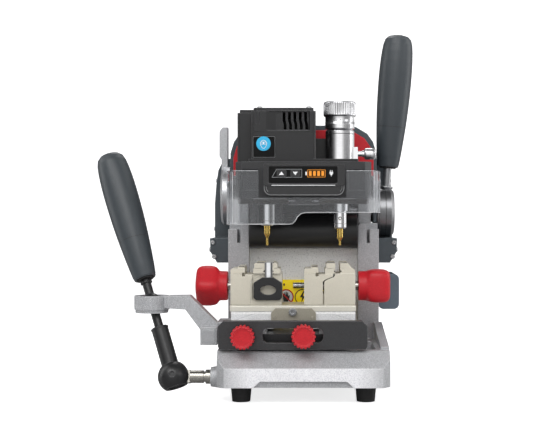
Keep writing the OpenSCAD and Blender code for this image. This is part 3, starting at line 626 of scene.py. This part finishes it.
# --------------------------------------------------------------------- display
def display_symbols():
    front, back = -75.46, -75.3
    flag = [(-1.3404, 196.978), (-1.3404, 204.5736), (-24.1272, 204.5736), (-28.5952, 196.978)]
    loop_slab("display_frame_keys", flag, inset(flag, 0.38), front, back, "icon_grey", HEAD_GLOSS)
    battery = round_rect(3.3063, 197.1567, 19.7486, 204.0374, 0.8)
    loop_slab("display_frame_battery", battery, inset(battery, 0.45), front, back,
              "icon_orange", HEAD_GLOSS)
    slab("display_battery_tip", round_rect(1.6978, 199.0333, 3.0382, 202.1609, 0.3),
         front, back, "icon_white", HEAD_GLOSS)
    bar_start, bar_pitch, bar_width = 4.8254, 3.70844, 2.5
    for i in range(4):
        x0 = bar_start + i * bar_pitch
        slab(f"display_bar_{i}", round_rect(x0, 198.4078, x0 + bar_width, 202.7864, 0.4),
             front, back, "icon_orange", HEAD_GLOSS)
    plug_x, plug_z = 24.8421, 200.9992
    # (x, z) from the plug's centre
    plug = [(-1.6, 1.0), (-1.1, 1.0), (-1.1, 2.6), (-0.5, 2.6), (-0.5, 1.0), (0.5, 1.0),
            (0.5, 2.6), (1.1, 2.6), (1.1, 1.0), (1.6, 1.0), (1.6, -0.4), (0.9, -1.6),
            (0.3, -1.8), (0.3, -3.0), (-0.3, -3.0), (-0.3, -1.8), (-0.9, -1.6), (-1.6, -0.4)]
    slab("display_plug", [(plug_x + x, plug_z + z) for x, z in plug], front, back,
         "icon_white", HEAD_GLOSS)
    for way, triangle in (("up", [(-22.1, 199.2), (-17.3, 199.2), (-19.7, 202.3)]),
                          ("down", [(-9.7, 202.1), (-5.0, 202.1), (-7.35, 199.0)])):
        slab("key_symbol_" + way, triangle, -75.86, -75.7, "icon_white",
             ("button_" + way, "gloss_black"))


def housing_label():
    """Black label on the motor housing: a head with goggles on a blue disc."""
    back = -62.05
    mid_x = -36.2
    plate = round_rect(-46.4, 215.2, -25.2, 235.2, 1.2)
    slab("housing_label_plate", plate, -62.12, -61.9, "label_black", HEAD_GLOSS, 0.05)
    loop_slab("housing_label_frame", inset(plate, 0.5), inset(plate, 0.75), -62.17, back,
              "icon_grey", HEAD_GLOSS)
    slab("housing_label_disc", circle(mid_x, 228.2, 6.6, 56), -62.18, back,
         "icon_blue", HEAD_GLOSS)
    # an ellipse, narrower towards the chin
    head = [(mid_x + 3.1 * math.cos(a) * (1.0 if math.sin(a) > -0.2 else 0.86),
             227.6 + 3.9 * math.sin(a)) for a in [2 * math.pi * i / 32 for i in range(32)]]
    loop_slab("housing_label_head", head, inset(head, 0.45), -62.24, -62.1,
              "icon_white", HEAD_GLOSS)
    slab("housing_label_goggles", round_rect(-39.3, 227.5, -33.1, 229.9, 1.0), -62.26, -62.1,
         "icon_white", HEAD_GLOSS)
    for s in (-1, 1):
        x = mid_x + s * 1.5
        slab(f"housing_label_lens_{s + 1}", round_rect(x - 1.1, 228.0, x + 1.1, 229.4, 0.6),
             -62.30, -62.2, "icon_blue", HEAD_GLOSS)


def yellow_plate():
    """Symbols standing proud of the yellow plate: a barred hand, a bolt and goggles."""
    front, back = 10.94, 11.0
    hand_x, bolt_x, goggles_x = -17.0, -1.0, 17.25
    disc_z, ring_r = 84.3, 7.6

    def symbol(name, outline, ink, lift=0.0):
        slab("plate_" + name, outline, front - lift, back, ink, YELLOW_PLATE)

    slab("plate_no_hand_field", circle(hand_x, disc_z, 7.5, 48), front, 11.02, "icon_white",
         YELLOW_PLATE)
    symbol("hand", [
        (-19.6, 79.8), (-15.0, 79.8), (-13.7, 83.0), (-13.4, 85.8), (-14.2, 86.0),
        (-14.8, 84.6), (-15.0, 88.6), (-15.8, 88.7), (-16.0, 85.6), (-16.4, 89.4),
        (-17.2, 89.4), (-17.4, 85.6), (-17.9, 88.8), (-18.7, 88.7), (-18.8, 85.3),
        (-19.4, 87.4), (-20.2, 87.2), (-20.0, 83.0)], "ink_black", 0.04)
    loop_slab("plate_no_ring", circle(hand_x, disc_z, ring_r, 48),
              circle(hand_x, disc_z, 6.3, 48), front - 0.06, back, "ink_red", YELLOW_PLATE)
    symbol("no_bar", [(-22.2, 88.6), (-21.3, 89.5), (-11.8, 80.0), (-12.7, 79.1)],
           "ink_red", 0.08)
    loop_slab("plate_ring_2", circle(bolt_x, disc_z, ring_r, 48),
              circle(bolt_x, disc_z, 6.7, 48), front - 0.03, back, "ink_black", YELLOW_PLATE)
    symbol("bolt", [(-0.2, 90.0), (-3.6, 83.9), (-1.2, 83.9), (-2.2, 78.9), (1.8, 85.3),
                    (-0.6, 85.3), (1.0, 90.0)], "ink_black", 0.03)
    symbol("goggles", round_rect(11.0, 82.0, 23.5, 87.5, 2.2), "ink_black", 0.03)
    for s in (-1, 1):
        x = goggles_x + s * 3
        symbol(f"lens_{s + 1}", round_rect(x - 2.2, 83.0, x + 2.2, 86.4, 1.2),
               "label_yellow", 0.06)
    mark_pitch = 2.7
    for i in range(3):
        shift = i * mark_pitch
        symbol(f"mark_{i}", round_rect(-25.0 + shift, 95.2, -23.4 + shift, 97.4, 0.3),
               "ink_black", 0.03)


# ----------------------------------------------------------------------- knobs
# distance from the knob's inner end, radius, squareness
LOBED_PROFILE = [
    (0.0, 12.6, 0), (0.5, 13.4, 0), (6.8, 13.6, 0), (7.8, 13.7, 0.06), (8.8, 14.0, 0.35),
    (10.2, 14.35, 0.75), (12.5, 14.8, 0.95), (16.0, 15.15, 1), (20.0, 15.2, 1),
    (23.5, 14.95, 1), (26.0, 14.3, 0.95), (27.6, 13.3, 0.9), (28.5, 12.0, 0.8),
    (28.9, 10.4, 0.6), (28.7, 8.6, 0.3), (28.2, 7.2, 0.0), (28.0, 3.0, 0.0)]


def lobed_knob(side, start_x, outward, turn):
    """Soft four-lobed vise knob; outward is the sign of X it points along."""
    cy, cz = -45.0, 98.5
    seg = 72
    verts = []
    for t, size, squareness in LOBED_PROFILE:
        power = 2.0 + 2.6 * squareness
        for i in range(seg):
            a = 2 * math.pi * i / seg
            r = size / ((abs(math.cos(a)) ** power + abs(math.sin(a)) ** power)
                        ** (1.0 / power))
            verts.append((start_x + outward * t, cy + r * math.cos(a + turn),
                          cz + r * math.sin(a + turn)))
    knob = ring_skin(side + "_knob_grip", verts, seg, "red_plastic",
                     (side + "_knob", "red_plastic"), sharp=50, caps=("last", "first"))
    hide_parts(side + "_vise_knob")


# y, radius, notch depth factor
TOOTHED_PROFILE = [
    (-105.4, 5.6, 0), (-106.0, 9.4, 0.3), (-106.6, 10.5, 1), (-115.6, 10.6, 1),
    (-116.6, 10.3, 1), (-117.3, 9.5, 0.8), (-117.5, 8.7, 0.35), (-117.3, 8.1, 0),
    (-116.5, 7.5, 0), (-116.3, 6.6, 0), (-116.5, 3.0, 0)]


def toothed_knob(axis_name, cx, cz):
    """Lock knob with a toothed rim, a dished face and a steel shank behind."""
    teeth, steps_per_tooth = 18, 8
    seg = teeth * steps_per_tooth
    verts = []
    for y, size, depth in TOOTHED_PROFILE:
        for i in range(seg):
            a = 2 * math.pi * i / seg
            phase = (i % steps_per_tooth) / steps_per_tooth
            notch = max(0.0, 1 - abs(phase - 0.5) / 0.28) ** 0.6
            r = size - 1.25 * depth * notch
            verts.append((cx + r * math.cos(a), y, cz + r * math.sin(a)))
    name, body = axis_name + "_knob_grip", axis_name + "_lock"
    knob = ring_skin(name, verts, seg, "red_plastic", (body, "red_plastic"), sharp=40,
                     caps=("last", "first"))
    lathe(name + "_shank", [(0, -1), (2.95, -1), (2.95, 14.6), (2.5, 15.1), (0, 15.1)],
          (cx, -105.6, cz), (0, 1, 0), "hub_steel", (body, "steel"), seg=32)
    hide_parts(axis_name + "_lock_knob")


def arm_pad():
    """Bright machined pad on the lever arm's lug."""
    home = ("y_table", "silver_paint")
    slab("arm_pad_border", round_rect(-89.6, 50.6, -76.9, 64.0, 1.0), -95.12, -94.9,
         "icon_grey", home, 0.05)
    slab("arm_pad", round_rect(-88.6, 51.6, -77.9, 63.0, 0.8), -95.22, -95.0,
         "machined_silver", home, 0.1)


def side_cover_screws():
    for s, side in ((-1, "left"), (1, "right")):
        screws("cover_screw_" + side, [(s * 86.6, 12.0, 123.5), (s * 88.0, 12.0, 137.2)],
               (0, -1, 0), 2.3)
        screws("cover_side_screw_" + side,
               [(s * 91.0, 90, 150), (s * 89.0, 90, 200), (s * 91.0, 30, 130)], (s, 0, 0), 2.6)


def tracer_lock():
    """Stepped lock screw with a rounded head."""
    grip = lathe("tracer_lock_grip", [
        (0, 10.0), (0.2, 10.0), (2.2, 10.0), (2.2, 11.3), (3.6, 11.2), (4.7, 10.4),
        (5.35, 9.0), (5.45, 7.0), (5.45, 2.6), (5.2, 1.2), (4.4, 0.3), (3.1, 0.0),
        (3.1, -1.6), (2.5, -1.8), (2.5, -15.0), (0, -15.0)],
        (56.2, TOOL_Y, 220.5), (1, 0, 0), "chrome", ("tracer_lock", "chrome"), seg=40, sharp=35)
    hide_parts("tracer_lock_screw")


# ------------------------------------------------------------------ micrometer
# z, radius, knurl depth factor
THIMBLE_PROFILE = [
    (243.4, 5.0, 0), (243.4, 13.2, 0), (243.8, 13.65, 0), (247.6, 13.7, 0), (247.7, 13.6, 0),
    (254.4, 13.6, 0), (254.8, 13.8, 0), (255.2, 14.8, 0), (255.7, 15.1, 0), (256.4, 15.2, 0.4),
    (257.0, 15.25, 1), (266.0, 15.25, 1), (266.6, 15.2, 0.4), (267.4, 15.1, 0),
    (268.2, 14.6, 0), (268.7, 13.6, 0), (268.6, 9.0, 0), (268.1, 8.4, 0), (268.1, 2.0, 0)]


def micrometer_thimble():
    ridges, steps_per_ridge = 44, 6
    seg = ridges * steps_per_ridge
    verts = []
    for z, size, knurl in THIMBLE_PROFILE:
        for i in range(seg):
            a = 2 * math.pi * i / seg
            phase = (i % steps_per_ridge) / steps_per_ridge
            r = size - 0.55 * knurl * (0.5 - 0.5 * math.cos(2 * math.pi * phase))
            verts.append((TOOL_X + r * math.cos(a), TOOL_Y + r * math.sin(a), z))
    thimble = ring_skin("micrometer_thimble", verts, seg, "chrome", ("micrometer", "chrome"),
                        sharp=45, caps=("last",))
    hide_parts("micrometer_knob")


def micrometer_scale():
    """Fifty graduation marks around the thimble, and a groove on the body below."""
    marks, half_width, foot = 50, 0.16, 248.0
    verts, faces = [], []
    for i in range(marks):
        a = 2 * math.pi * i / marks - math.pi / 2
        height = 3.6 if i % 10 == 0 else (2.8 if i % 5 == 0 else 1.9)
        c, s = math.cos(a), math.sin(a)
        base = len(verts)
        for r in (13.5, 13.72):
            for side, z in ((-1, foot), (1, foot), (1, foot + height), (-1, foot + height)):
                verts.append((TOOL_X + c * r - s * half_width * side,
                              TOOL_Y + s * r + c * half_width * side, z))
        faces += [tuple(base + k for k in face) for face in (
            (4, 5, 6, 7), (3, 2, 1, 0), (0, 1, 5, 4), (1, 2, 6, 5), (2, 3, 7, 6), (3, 0, 4, 7))]
    mesh_part("micrometer_scale", verts, faces, "ink_black", ("micrometer", "chrome"))
    lathe("micrometer_groove", [(13.2, -0.3), (13.46, -0.25), (13.46, 0.25), (13.2, 0.3)],
          (TOOL_X, TOOL_Y, 238.6), (0, 0, 1), "ink_black", ("head", "chrome"), seg=64)


# -------------------------------------------------------------- head and guard
def display_edges():
    """Black window of the display, with painted highlights on its lip, along its bezel line and
    down its corners.
    """
    slab("display_window", round_rect(-31.0, 191.9, 30.4, 207.0, 1.4), -75.43, -75.25,
         "label_black", HEAD_GLOSS)
    bezel = [(x, -74.15, z) for x, z in round_rect(-35.2, 181.4, 36.2, 208.6, 6.0, 6)]
    tube("display_bezel_line", bezel, 0.35, "edge_highlight", HEAD_GLOSS, closed=True)
    # painted highlight: a white strip along the step below the window
    slab("display_lip_highlight", round_rect(-28.6, 189.7, 28.4, 190.35, 0.3), -76.12, -75.9,
         "icon_white", HEAD_GLOSS)
    for side, xs in (("l", (-33.6, -33.4, -31.8)), ("r", (34.6, 34.4, 32.8))):
        corner = [(x, -74.2, z) for x, z in zip(xs, (191.0, 187.0, 184.2))]
        tube("display_corner_" + side, corner, 0.28, "edge_highlight", HEAD_GLOSS)


def head_edges():
    """Centre latch block under the casting, with painted highlight lines along its lower edge and
    along the casting's lower edge beside it.
    """
    left, right = -14.2, 14.4
    slab("head_centre_block", round_rect(left, 172.6, right, 178.6, 0.8), -63.2, -58.0,
         "dark_cast", HEAD_DARK, 0.3)
    for i, x in enumerate((-10.6, 10.8)):
        slab(f"head_latch_{i}", round_rect(x - 3.0, 175.6, x + 3.0, 177.0, 0.5), -63.9, -63.0,
             "hub_steel", HEAD_DARK, 0.15)
    # name, x from, x to, y, z, radius
    for name, x0, x1, y, z, r in (("head_block_line", left, right, -63.25, 172.9, 0.28),
                                  ("head_edge_l", -45.5, -15.0, -62.1, 178.3, 0.30),
                                  ("head_edge_r", 15.2, 46.6, -62.1, 178.3, 0.30)):
        tube(name, [(x0, y, z), (x1, y, z)], r, "edge_highlight", HEAD_DARK)


def guard_edges():
    """Rolled lower edge, side beads and upper edges of the clear guard, in a pale colour that
    paints on the highlights these edges catch.
    """
    front = -83.8
    # (x, z) where the lower edge steps up near the middle
    step = [(-13, 155.3), (-10, 155.7), (-7.5, 157.9), (-5.5, 161.6), (-2.5, 164.5), (2, 165.7)]
    tube("guard_edge_front",
         [(-68.4, -66.5, 155.3), (-68.4, -74, 155.3), (-63, front, 155.3)]
         + [(x, front, z) for x, z in step]
         + [(63, front, 165.8), (68.4, -74, 165.8), (68.4, -67.0, 165.8)],
         0.45, "guard_edge_highlight", GUARD)
    for s, z in ((-1, 155.4), (1, 165.8)):
        tube(f"guard_corner_{s + 1}", [(s * 62.9, -83.7, z), (s * 62.9, -83.7, 201.8)], 0.40,
             "guard_edge_highlight", GUARD)
        tube(f"guard_corner_b{s + 1}", [(s * 68.3, -73.9, z), (s * 68.3, -73.9, 202.0)], 0.40,
             "guard_edge_highlight", GUARD)
    for side, x0, x1 in (("l", -62.8, -40.4), ("r", 38.4, 62.8)):
        tube("guard_top_" + side, [(x0, -83.7, 202.7), (x1, -83.7, 202.7)], 0.35,
             "guard_edge_highlight", GUARD)


# ------------------------------------------------------------- grips and rods
# fraction of the grip's length, radius
GRIP_RADII = [(0.0, 10.6), (0.08, 11.9), (0.17, 13.1), (0.26, 14.1), (0.34, 14.9), (0.43, 15.6),
              (0.52, 16.0), (0.62, 16.3), (0.72, 16.3), (0.8, 16.0), (0.87, 15.4)]
STICK_GRIP_FOOT = STICK_PIVOT + STICK_DIR * 93.4
LIFT_GRIP_FOOT = LIFT_PIVOT + LIFT_DIR * 45.6
# name, body, foot, direction, length, girth factor, rough direction of the mould lines
GRIPS = [
    ("stick", "joystick", STICK_GRIP_FOOT, STICK_DIR, 125, 0.95,
     Vector((0.94, 0.1, 0.29)).normalized()),
    ("lift", "lift_lever", LIFT_GRIP_FOOT, LIFT_DIR, 132, 1.0, Vector((1, 0, 0))),
]


def grip_radius(fraction):
    for (a, radius_a), (b, radius_b) in zip(GRIP_RADII, GRIP_RADII[1:]):
        if fraction <= b:
            return radius_a + (radius_b - radius_a) * (fraction - a) / (b - a)


def grip_seams():
    """Dark parting ring around each grip, following its slope."""
    at, reach, half_width, proud = 0.30, 0.03, 0.22, 0.02
    for name, body, foot, along, length, girth, _ in GRIPS:
        r = grip_radius(at) * girth
        rise = grip_radius(at + reach) - grip_radius(at - reach)
        flare = rise * girth / (2 * reach * length) * half_width
        profile = [(r - 0.8, -half_width - 0.2), (r - flare + proud, -half_width),
                   (r + proud + 0.02, 0), (r + flare + proud, half_width),
                   (r - 0.8, half_width + 0.2)]
        lathe(name + "_grip_seam", profile, foot + along * (length * at) - Vector((0, 0, 0)),
              along, "ink_black", (body, "slate_plastic"), seg=64)


def grip_collars():
    """Rubber collar at each grip's foot and mould lines down both sides."""
    for name, body, foot, along, length, girth, side in GRIPS:
        home = (body, "slate_plastic")
        lathe(name + "_grip_collar",
              [(4.1, -1.3), (7.6 * girth, -1.3), (8.4 * girth, -0.9), (8.6 * girth, 0.2),
               (4.1, 0.2)], foot, along, "rubber", home)
        side = (side - along * side.dot(along)).normalized()
        for i, sign in enumerate((-1, 1)):
            fractions = [0.02 + k * 0.062 for k in range(14)]
            line = [foot + along * (length * f) + side * sign * (grip_radius(f) * girth - 0.05)
                    for f in fractions]
            tube(f"{name}_grip_mould_line_{i}", line, 0.16, "grip_plastic", home, seg=6)


def rod_rings():
    lathe("stick_top_ring", [(4.0, -0.8), (5.2, -0.8), (5.4, 0), (5.2, 0.8), (4.0, 0.8)],
          STICK_GRIP_FOOT - STICK_DIR * 4.0, STICK_DIR, "black_plastic",
          ("joystick", "black_plastic"), seg=40)
    lathe("stick_socket_ring", [(7.4, -1.0), (7.9, -0.6), (7.9, 0.6), (7.4, 1.0), (4.1, 1.2)],
          STICK_PIVOT + STICK_DIR * 45.2, STICK_DIR, "black_plastic",
          ("joystick", "gloss_black"), seg=44)
    lathe("lift_rod_ring", [(4.0, -1.2), (6.4, -1.2), (6.8, -0.5), (6.8, 0.5), (6.2, 1.2),
                            (4.0, 1.4)],
          LIFT_PIVOT + LIFT_DIR * 25.2, LIFT_DIR, "hub_steel", LIFT_STEEL, seg=40)


def hub_and_lock():
    """Machined rings, centre bolts and groove of the lift hub and the lock disc."""
    lathe("hub_bolt", [(0, 0), (6.5, 0), (6.8, 0.6), (6.8, 2.2), (6.2, 2.6), (3.3, 2.6),
                       (3.2, 1.0), (0, 0.8)],
          (87.5, HUB_Y, HUB_Z), (1, 0, 0), "hub_steel", LIFT_STEEL, seg=40)
    for i, r in enumerate((20.0, 17.0)):
        lathe(f"hub_ring_{i}", [(r - 0.5, -0.2), (r - 0.3, 0.12), (r + 0.3, 0.12),
                                (r + 0.5, -0.2)],
              (89.5, HUB_Y, HUB_Z), (1, 0, 0), "turned_steel", LIFT_STEEL, seg=64)
    lathe("lock_bolt", [(0, 0), (5.5, 0), (5.8, 0.5), (5.8, 1.9), (5.2, 2.3), (2.9, 2.3),
                        (2.8, 0.9), (0, 0.7)],
          (-79.7, HUB_Y, 183), (-1, 0, 0), "hub_steel", ("lift_lock", "silver_paint"), seg=40)
    tube("hub_groove", [(81.0, y, z) for y, z in circle(HUB_Y, HUB_Z, 24.45, 72)], 0.25,
         "ink_black", LIFT_STEEL, seg=6, closed=True)


def tool_collars():
    # name, x, z, collar radius, body
    for name, x, z, r, body in (("cutter", -TOOL_X, 158.2, 6.8, "spindle"),
                                ("tracer", TOOL_X, 155.6, 6.05, "tracer")):
        groove = [(gx, gy, z) for gx, gy in circle(x, TOOL_Y, r + 0.02, 48)]
        tube(name + "_collar_groove", groove, 0.22, "turned_steel", (body, "chrome"), seg=6,
             closed=True)
    lathe("tracer_set_screw", [(0, -0.6), (1.7, -0.6), (1.7, 0.15), (1.4, 0.3), (0.8, 0.3),
                               (0.75, -0.2), (0, -0.2)],
          (TOOL_X, TOOL_Y - 6.0, 160.5), (0, -1, 0), "turned_steel", ("tracer", "chrome"),
          seg=24)


# ------------------------------------------------------- housing, rear and base
def housing_details():
    """Screws on the motor housing's top and a parting line across its front."""
    screws("housing_screw", [(x, y, 261.0) for x, y in ((-40, -54), (5, -54), (5, 10), (-54, 10))],
           (0, 0, 1), 2.4, home=("head", "steel"))
    tube("housing_part_line", [(-47.4, -61.95, 239.2), (-25.2, -61.97, 239.2),
                               (6, -61.97, 239.2), (11.0, -61.9, 239.2)], 0.22,
         "ink_black", HEAD_PLASTIC, seg=6)


def rear_details():
    """Rear cover screws, the power socket with its pin, the switch bezel and deck screws."""
    socket_place = (8, 108, 90)
    screws("rear_screw", [(x, 113.0, z) for x, z in ((-58, 130), (58, 130), (-52, 236), (52, 236))],
           (0, 1, 0), 2.5)
    lathe("power_socket", [(2.4, 4.0), (2.4, -4.0), (4.0, -4.0), (4.0, 4.6), (6.2, 4.8),
                           (6.8, 4.2), (6.8, 0.0), (7.4, 0.0), (7.4, -0.6)],
          socket_place, (0, 1, 0), "gloss_black", ("base", "black_plastic"), seg=44)
    lathe("power_socket_pin", [(0, 2.6), (0.8, 2.6), (1.0, 2.2), (1.0, -3.5), (0, -3.5)],
          socket_place, (0, 1, 0), "chrome", BASE_STEEL, seg=20)
    loop_slab("switch_bezel", round_rect(-41.6, 77.6, -22.4, 102.6, 1.6),
              round_rect(-39.2, 79.8, -24.8, 100.2, 0.8), 107.9, 109.2, "black_plastic",
              ("base", "black_plastic"))
    screws("deck_screw", [(-66, 103, 45.0), (66, 103, 45.0)], (0, 0, 1), 2.6)


# ----------------------------------------------------------------------- vises
def vise_details():
    """Bracket rivets, a painted highlight and painted shade on the key, dark jaw strips, painted
    shade lines along the steps on the jaw blocks and fine lines lower on the vise bodies.
    """
    for i, x in enumerate((-26.254, 7.974)):
        screw(f"bracket_rivet_{i}", (x, -65.0, 71.2), (0, -1, 0), 1.1, "bracket_sand",
              ("y_table", "bracket_metal"))
    key_foot, key_top = 104.6, 120.1
    # painted highlight down the flat of the key blade
    slab("key_flat_highlight", round_rect(-33.5, key_foot, -30.2, key_top, 0.2), -58.10, -57.95,
         "icon_white", TABLE_STEEL, 0.03)
    # painted shade in the slot on either side of the blade
    for i, x in enumerate((-34.9, -29.1)):
        slab(f"key_slot_shade_{i}", round_rect(x - 0.35, key_foot, x + 0.35, key_top, 0.1),
             -58.08, -57.95, "ink_black", TABLE_STEEL)
    jaw_top, jaw_y = 120.35, -57.45
    tab_top, tab_y = 116.75, -54.05
    # name, x from, x to, top z, y, body
    for name, x0, x1, z, y, body in (
            ("left_a", -42.6, -35.6, jaw_top, jaw_y, "left_jaw"),
            ("left_b", -27.9, -26.6, jaw_top, jaw_y, "y_table"),
            ("right_a", 22.4, 28.7, jaw_top, jaw_y, "right_jaw"),
            ("right_b", 33.8, 40.0, jaw_top, jaw_y, "y_table"),
            ("left_tab", -59.2, -54.2, tab_top, tab_y, "left_jaw"),
            ("right_tab", 7.8, 12.8, tab_top, tab_y, "right_jaw")):
        slab("jaw_strip_" + name, [(x0, z - 0.5), (x1, z - 0.5), (x1, z), (x0, z)],
             y - 0.1, y + 0.3, "ink_black", (body, "cream_metal"))
    blocks = (("left", -66.4), ("right", 0.6))
    # painted shade: a darker line along the step where each jaw block's upper part is set back
    for side, x in blocks:
        tube(side + "_block_line", [(x + 0.4, -58.0, 110.0), (x + 10.2, -58.0, 110.0)], 0.16,
             "bracket_sand", (side + "_jaw", "cream_metal"), seg=6)
    for side, x in blocks:
        tube(side + "_foot_line", [(x + 0.3, -58.0, 82.0), (x + 46.3, -58.0, 82.0)], 0.22,
             "bracket_sand", ("y_table", "cream_metal"), seg=6)


def plate_pin():
    """Steel pin lying along X in front of the yellow plate."""
    lathe("plate_pin", [(0, 0.3), (2.6, 0), (2.9, 0.4), (2.9, 14.0), (2.4, 14.6), (0, 14.6)],
          (-10.2, 7.6, 95.6), (1, 0, 0), "hub_steel", BASE_STEEL, seg=36)


display_symbols()
housing_label()
yellow_plate()
lobed_knob("left", -69.6, -1, math.radians(45))
lobed_knob("right", 50.3, 1, 0.0)
toothed_knob("y", -52.6, 57.9)
toothed_knob("x", 0.0, 58.5)
arm_pad()
side_cover_screws()
tracer_lock()
micrometer_thimble()
micrometer_scale()
display_edges()
head_edges()
guard_edges()
grip_seams()
grip_collars()
rod_rings()
hub_and_lock()
tool_collars()
housing_details()
rear_details()
vise_details()
plate_pin()


# ------------------------------------------------- floor, lights, world, camera
def pale_floor():
    """Bright to the camera, darker in reflections."""
    material, g, bsdf = principled("pale_floor")
    tint = g.ramp(g.noise(g.coord(), scale=3, detail=2, rough=0.5),
                  [(0.2, (0.86, 0.86, 0.865)), (0.8, (0.89, 0.89, 0.895))])
    rays = g.node("LightPath").outputs
    g.feed(bsdf.inputs["Base Color"], g.mix(rays["Is Glossy Ray"], tint, (0.30, 0.30, 0.305)))
    g.feed(bsdf.inputs["Roughness"], 0.28)
    g.feed(bsdf.inputs["Emission Color"], (1.0, 1.0, 1.0))
    g.feed(bsdf.inputs["Emission Strength"], g.math("MULTIPLY", rays["Is Camera Ray"], 0.74))
    return material


def floor():
    """Flat floor that sweeps up into a wall behind the machine."""
    half_width, level, sweep_y, radius = 3.0, -0.0002, 1.6, 0.8
    profile = [(-3.2, level), (sweep_y, level)]
    for a in [math.radians(degrees) for degrees in range(9, 91, 9)]:
        profile.append((sweep_y + radius * math.sin(a),
                        radius - (radius - level) * math.cos(a)))
    profile.append((sweep_y + radius, 3.4))
    verts = [(x, y, z) for y, z in profile for x in (-half_width, half_width)]
    faces = [(2 * i, 2 * i + 1, 2 * i + 3, 2 * i + 2) for i in range(len(profile) - 1)]
    mesh = bpy.data.meshes.new("floor")
    mesh.from_pydata(verts, [], faces)
    shade_smooth(mesh)
    obj = link_object("floor", mesh)
    mesh.materials.append(pale_floor())


# name, place, height aimed at on the Z axis, width, height, power in watts
LIGHTS = [
    ("key", (-0.9, -1.1, 1.5), 0.15, 0.8, 0.8, 9),
    ("fill", (1.3, -1.0, 0.8), 0.15, 0.7, 0.7, 3.0),
    ("top", (0.0, -1.25, 1.15), 0.12, 0.85, 0.85, 7.5),
    ("back_top", (0.0, 0.7, 1.3), 0.2, 0.8, 0.8, 6),
    ("left_strip", (-0.95, 0.1, 0.45), 0.15, 0.3, 1.1, 2.5),
    ("right_strip", (0.95, 0.1, 0.45), 0.15, 0.3, 1.1, 2.5),
]


def area_light(name, place, aim_z, width, height, power):
    light = bpy.data.lights.new(name, "AREA")
    light.shape = "RECTANGLE"
    light.size = width
    light.size_y = height
    light.energy = power
    obj = link_object(name, light)
    obj.location = place
    aim = Vector((0, 0, aim_z)) - Vector(place)
    obj.rotation_euler = aim.to_track_quat("-Z", "Y").to_euler()


def studio_world():
    """Bright band behind the camera, soft boxes to the sides, dark straight overhead."""
    world = bpy.data.worlds.new("studio")
    bpy.context.scene.world = world
    world.use_nodes = True
    g = Graph(world.node_tree)
    direction = g.split(g.node("TexCoord").outputs["Generated"])
    around = g.ramp(g.azimuth(direction), [
        (0.0, 0.30), (0.08, 0.12), (0.28, 0.10), (0.36, 0.30), (0.43, 1.15), (0.53, 1.15),
        (0.60, 0.42), (0.65, 0.30), (0.73, 0.55), (0.82, 1.15), (0.94, 1.25), (1.0, 0.35)])
    elevation = g.math("ADD", g.math("MULTIPLY", direction[2], 0.5), 0.5, True)
    fade = g.ramp(elevation, [(0.0, 0.5), (0.46, 0.8), (0.50, 1.0), (0.60, 1.0), (0.68, 0.85),
                              (0.90, 0.60), (0.955, 0.22), (1.0, 0.15)])
    walls = g.mix(1.0, around, fade, blend="MULTIPLY")
    above = g.ramp(direction[2], [(0.12, 0.0), (0.35, 0.42), (0.80, 0.42), (0.93, 0.08)])
    background = world.node_tree.nodes.get("Background")
    g.feed(background.inputs[0], g.mix(1.0, walls, above, blend="ADD"))
    g.feed(background.inputs[1], 0.72)


def camera():
    """Level camera straight in front of the machine."""
    data = bpy.data.cameras.new("cam")
    data.sensor_width = 36
    data.lens = 73.4
    data.shift_x = -0.0518
    obj = link_object("cam", data)
    obj.location = (0, -1.078, 0.159)
    obj.rotation_euler = (math.radians(90), 0, 0)
    bpy.context.scene.camera = obj


floor()
for light_row in LIGHTS:
    area_light(*light_row)
studio_world()
camera()
bpy.context.scene.view_settings.view_transform = "Standard"
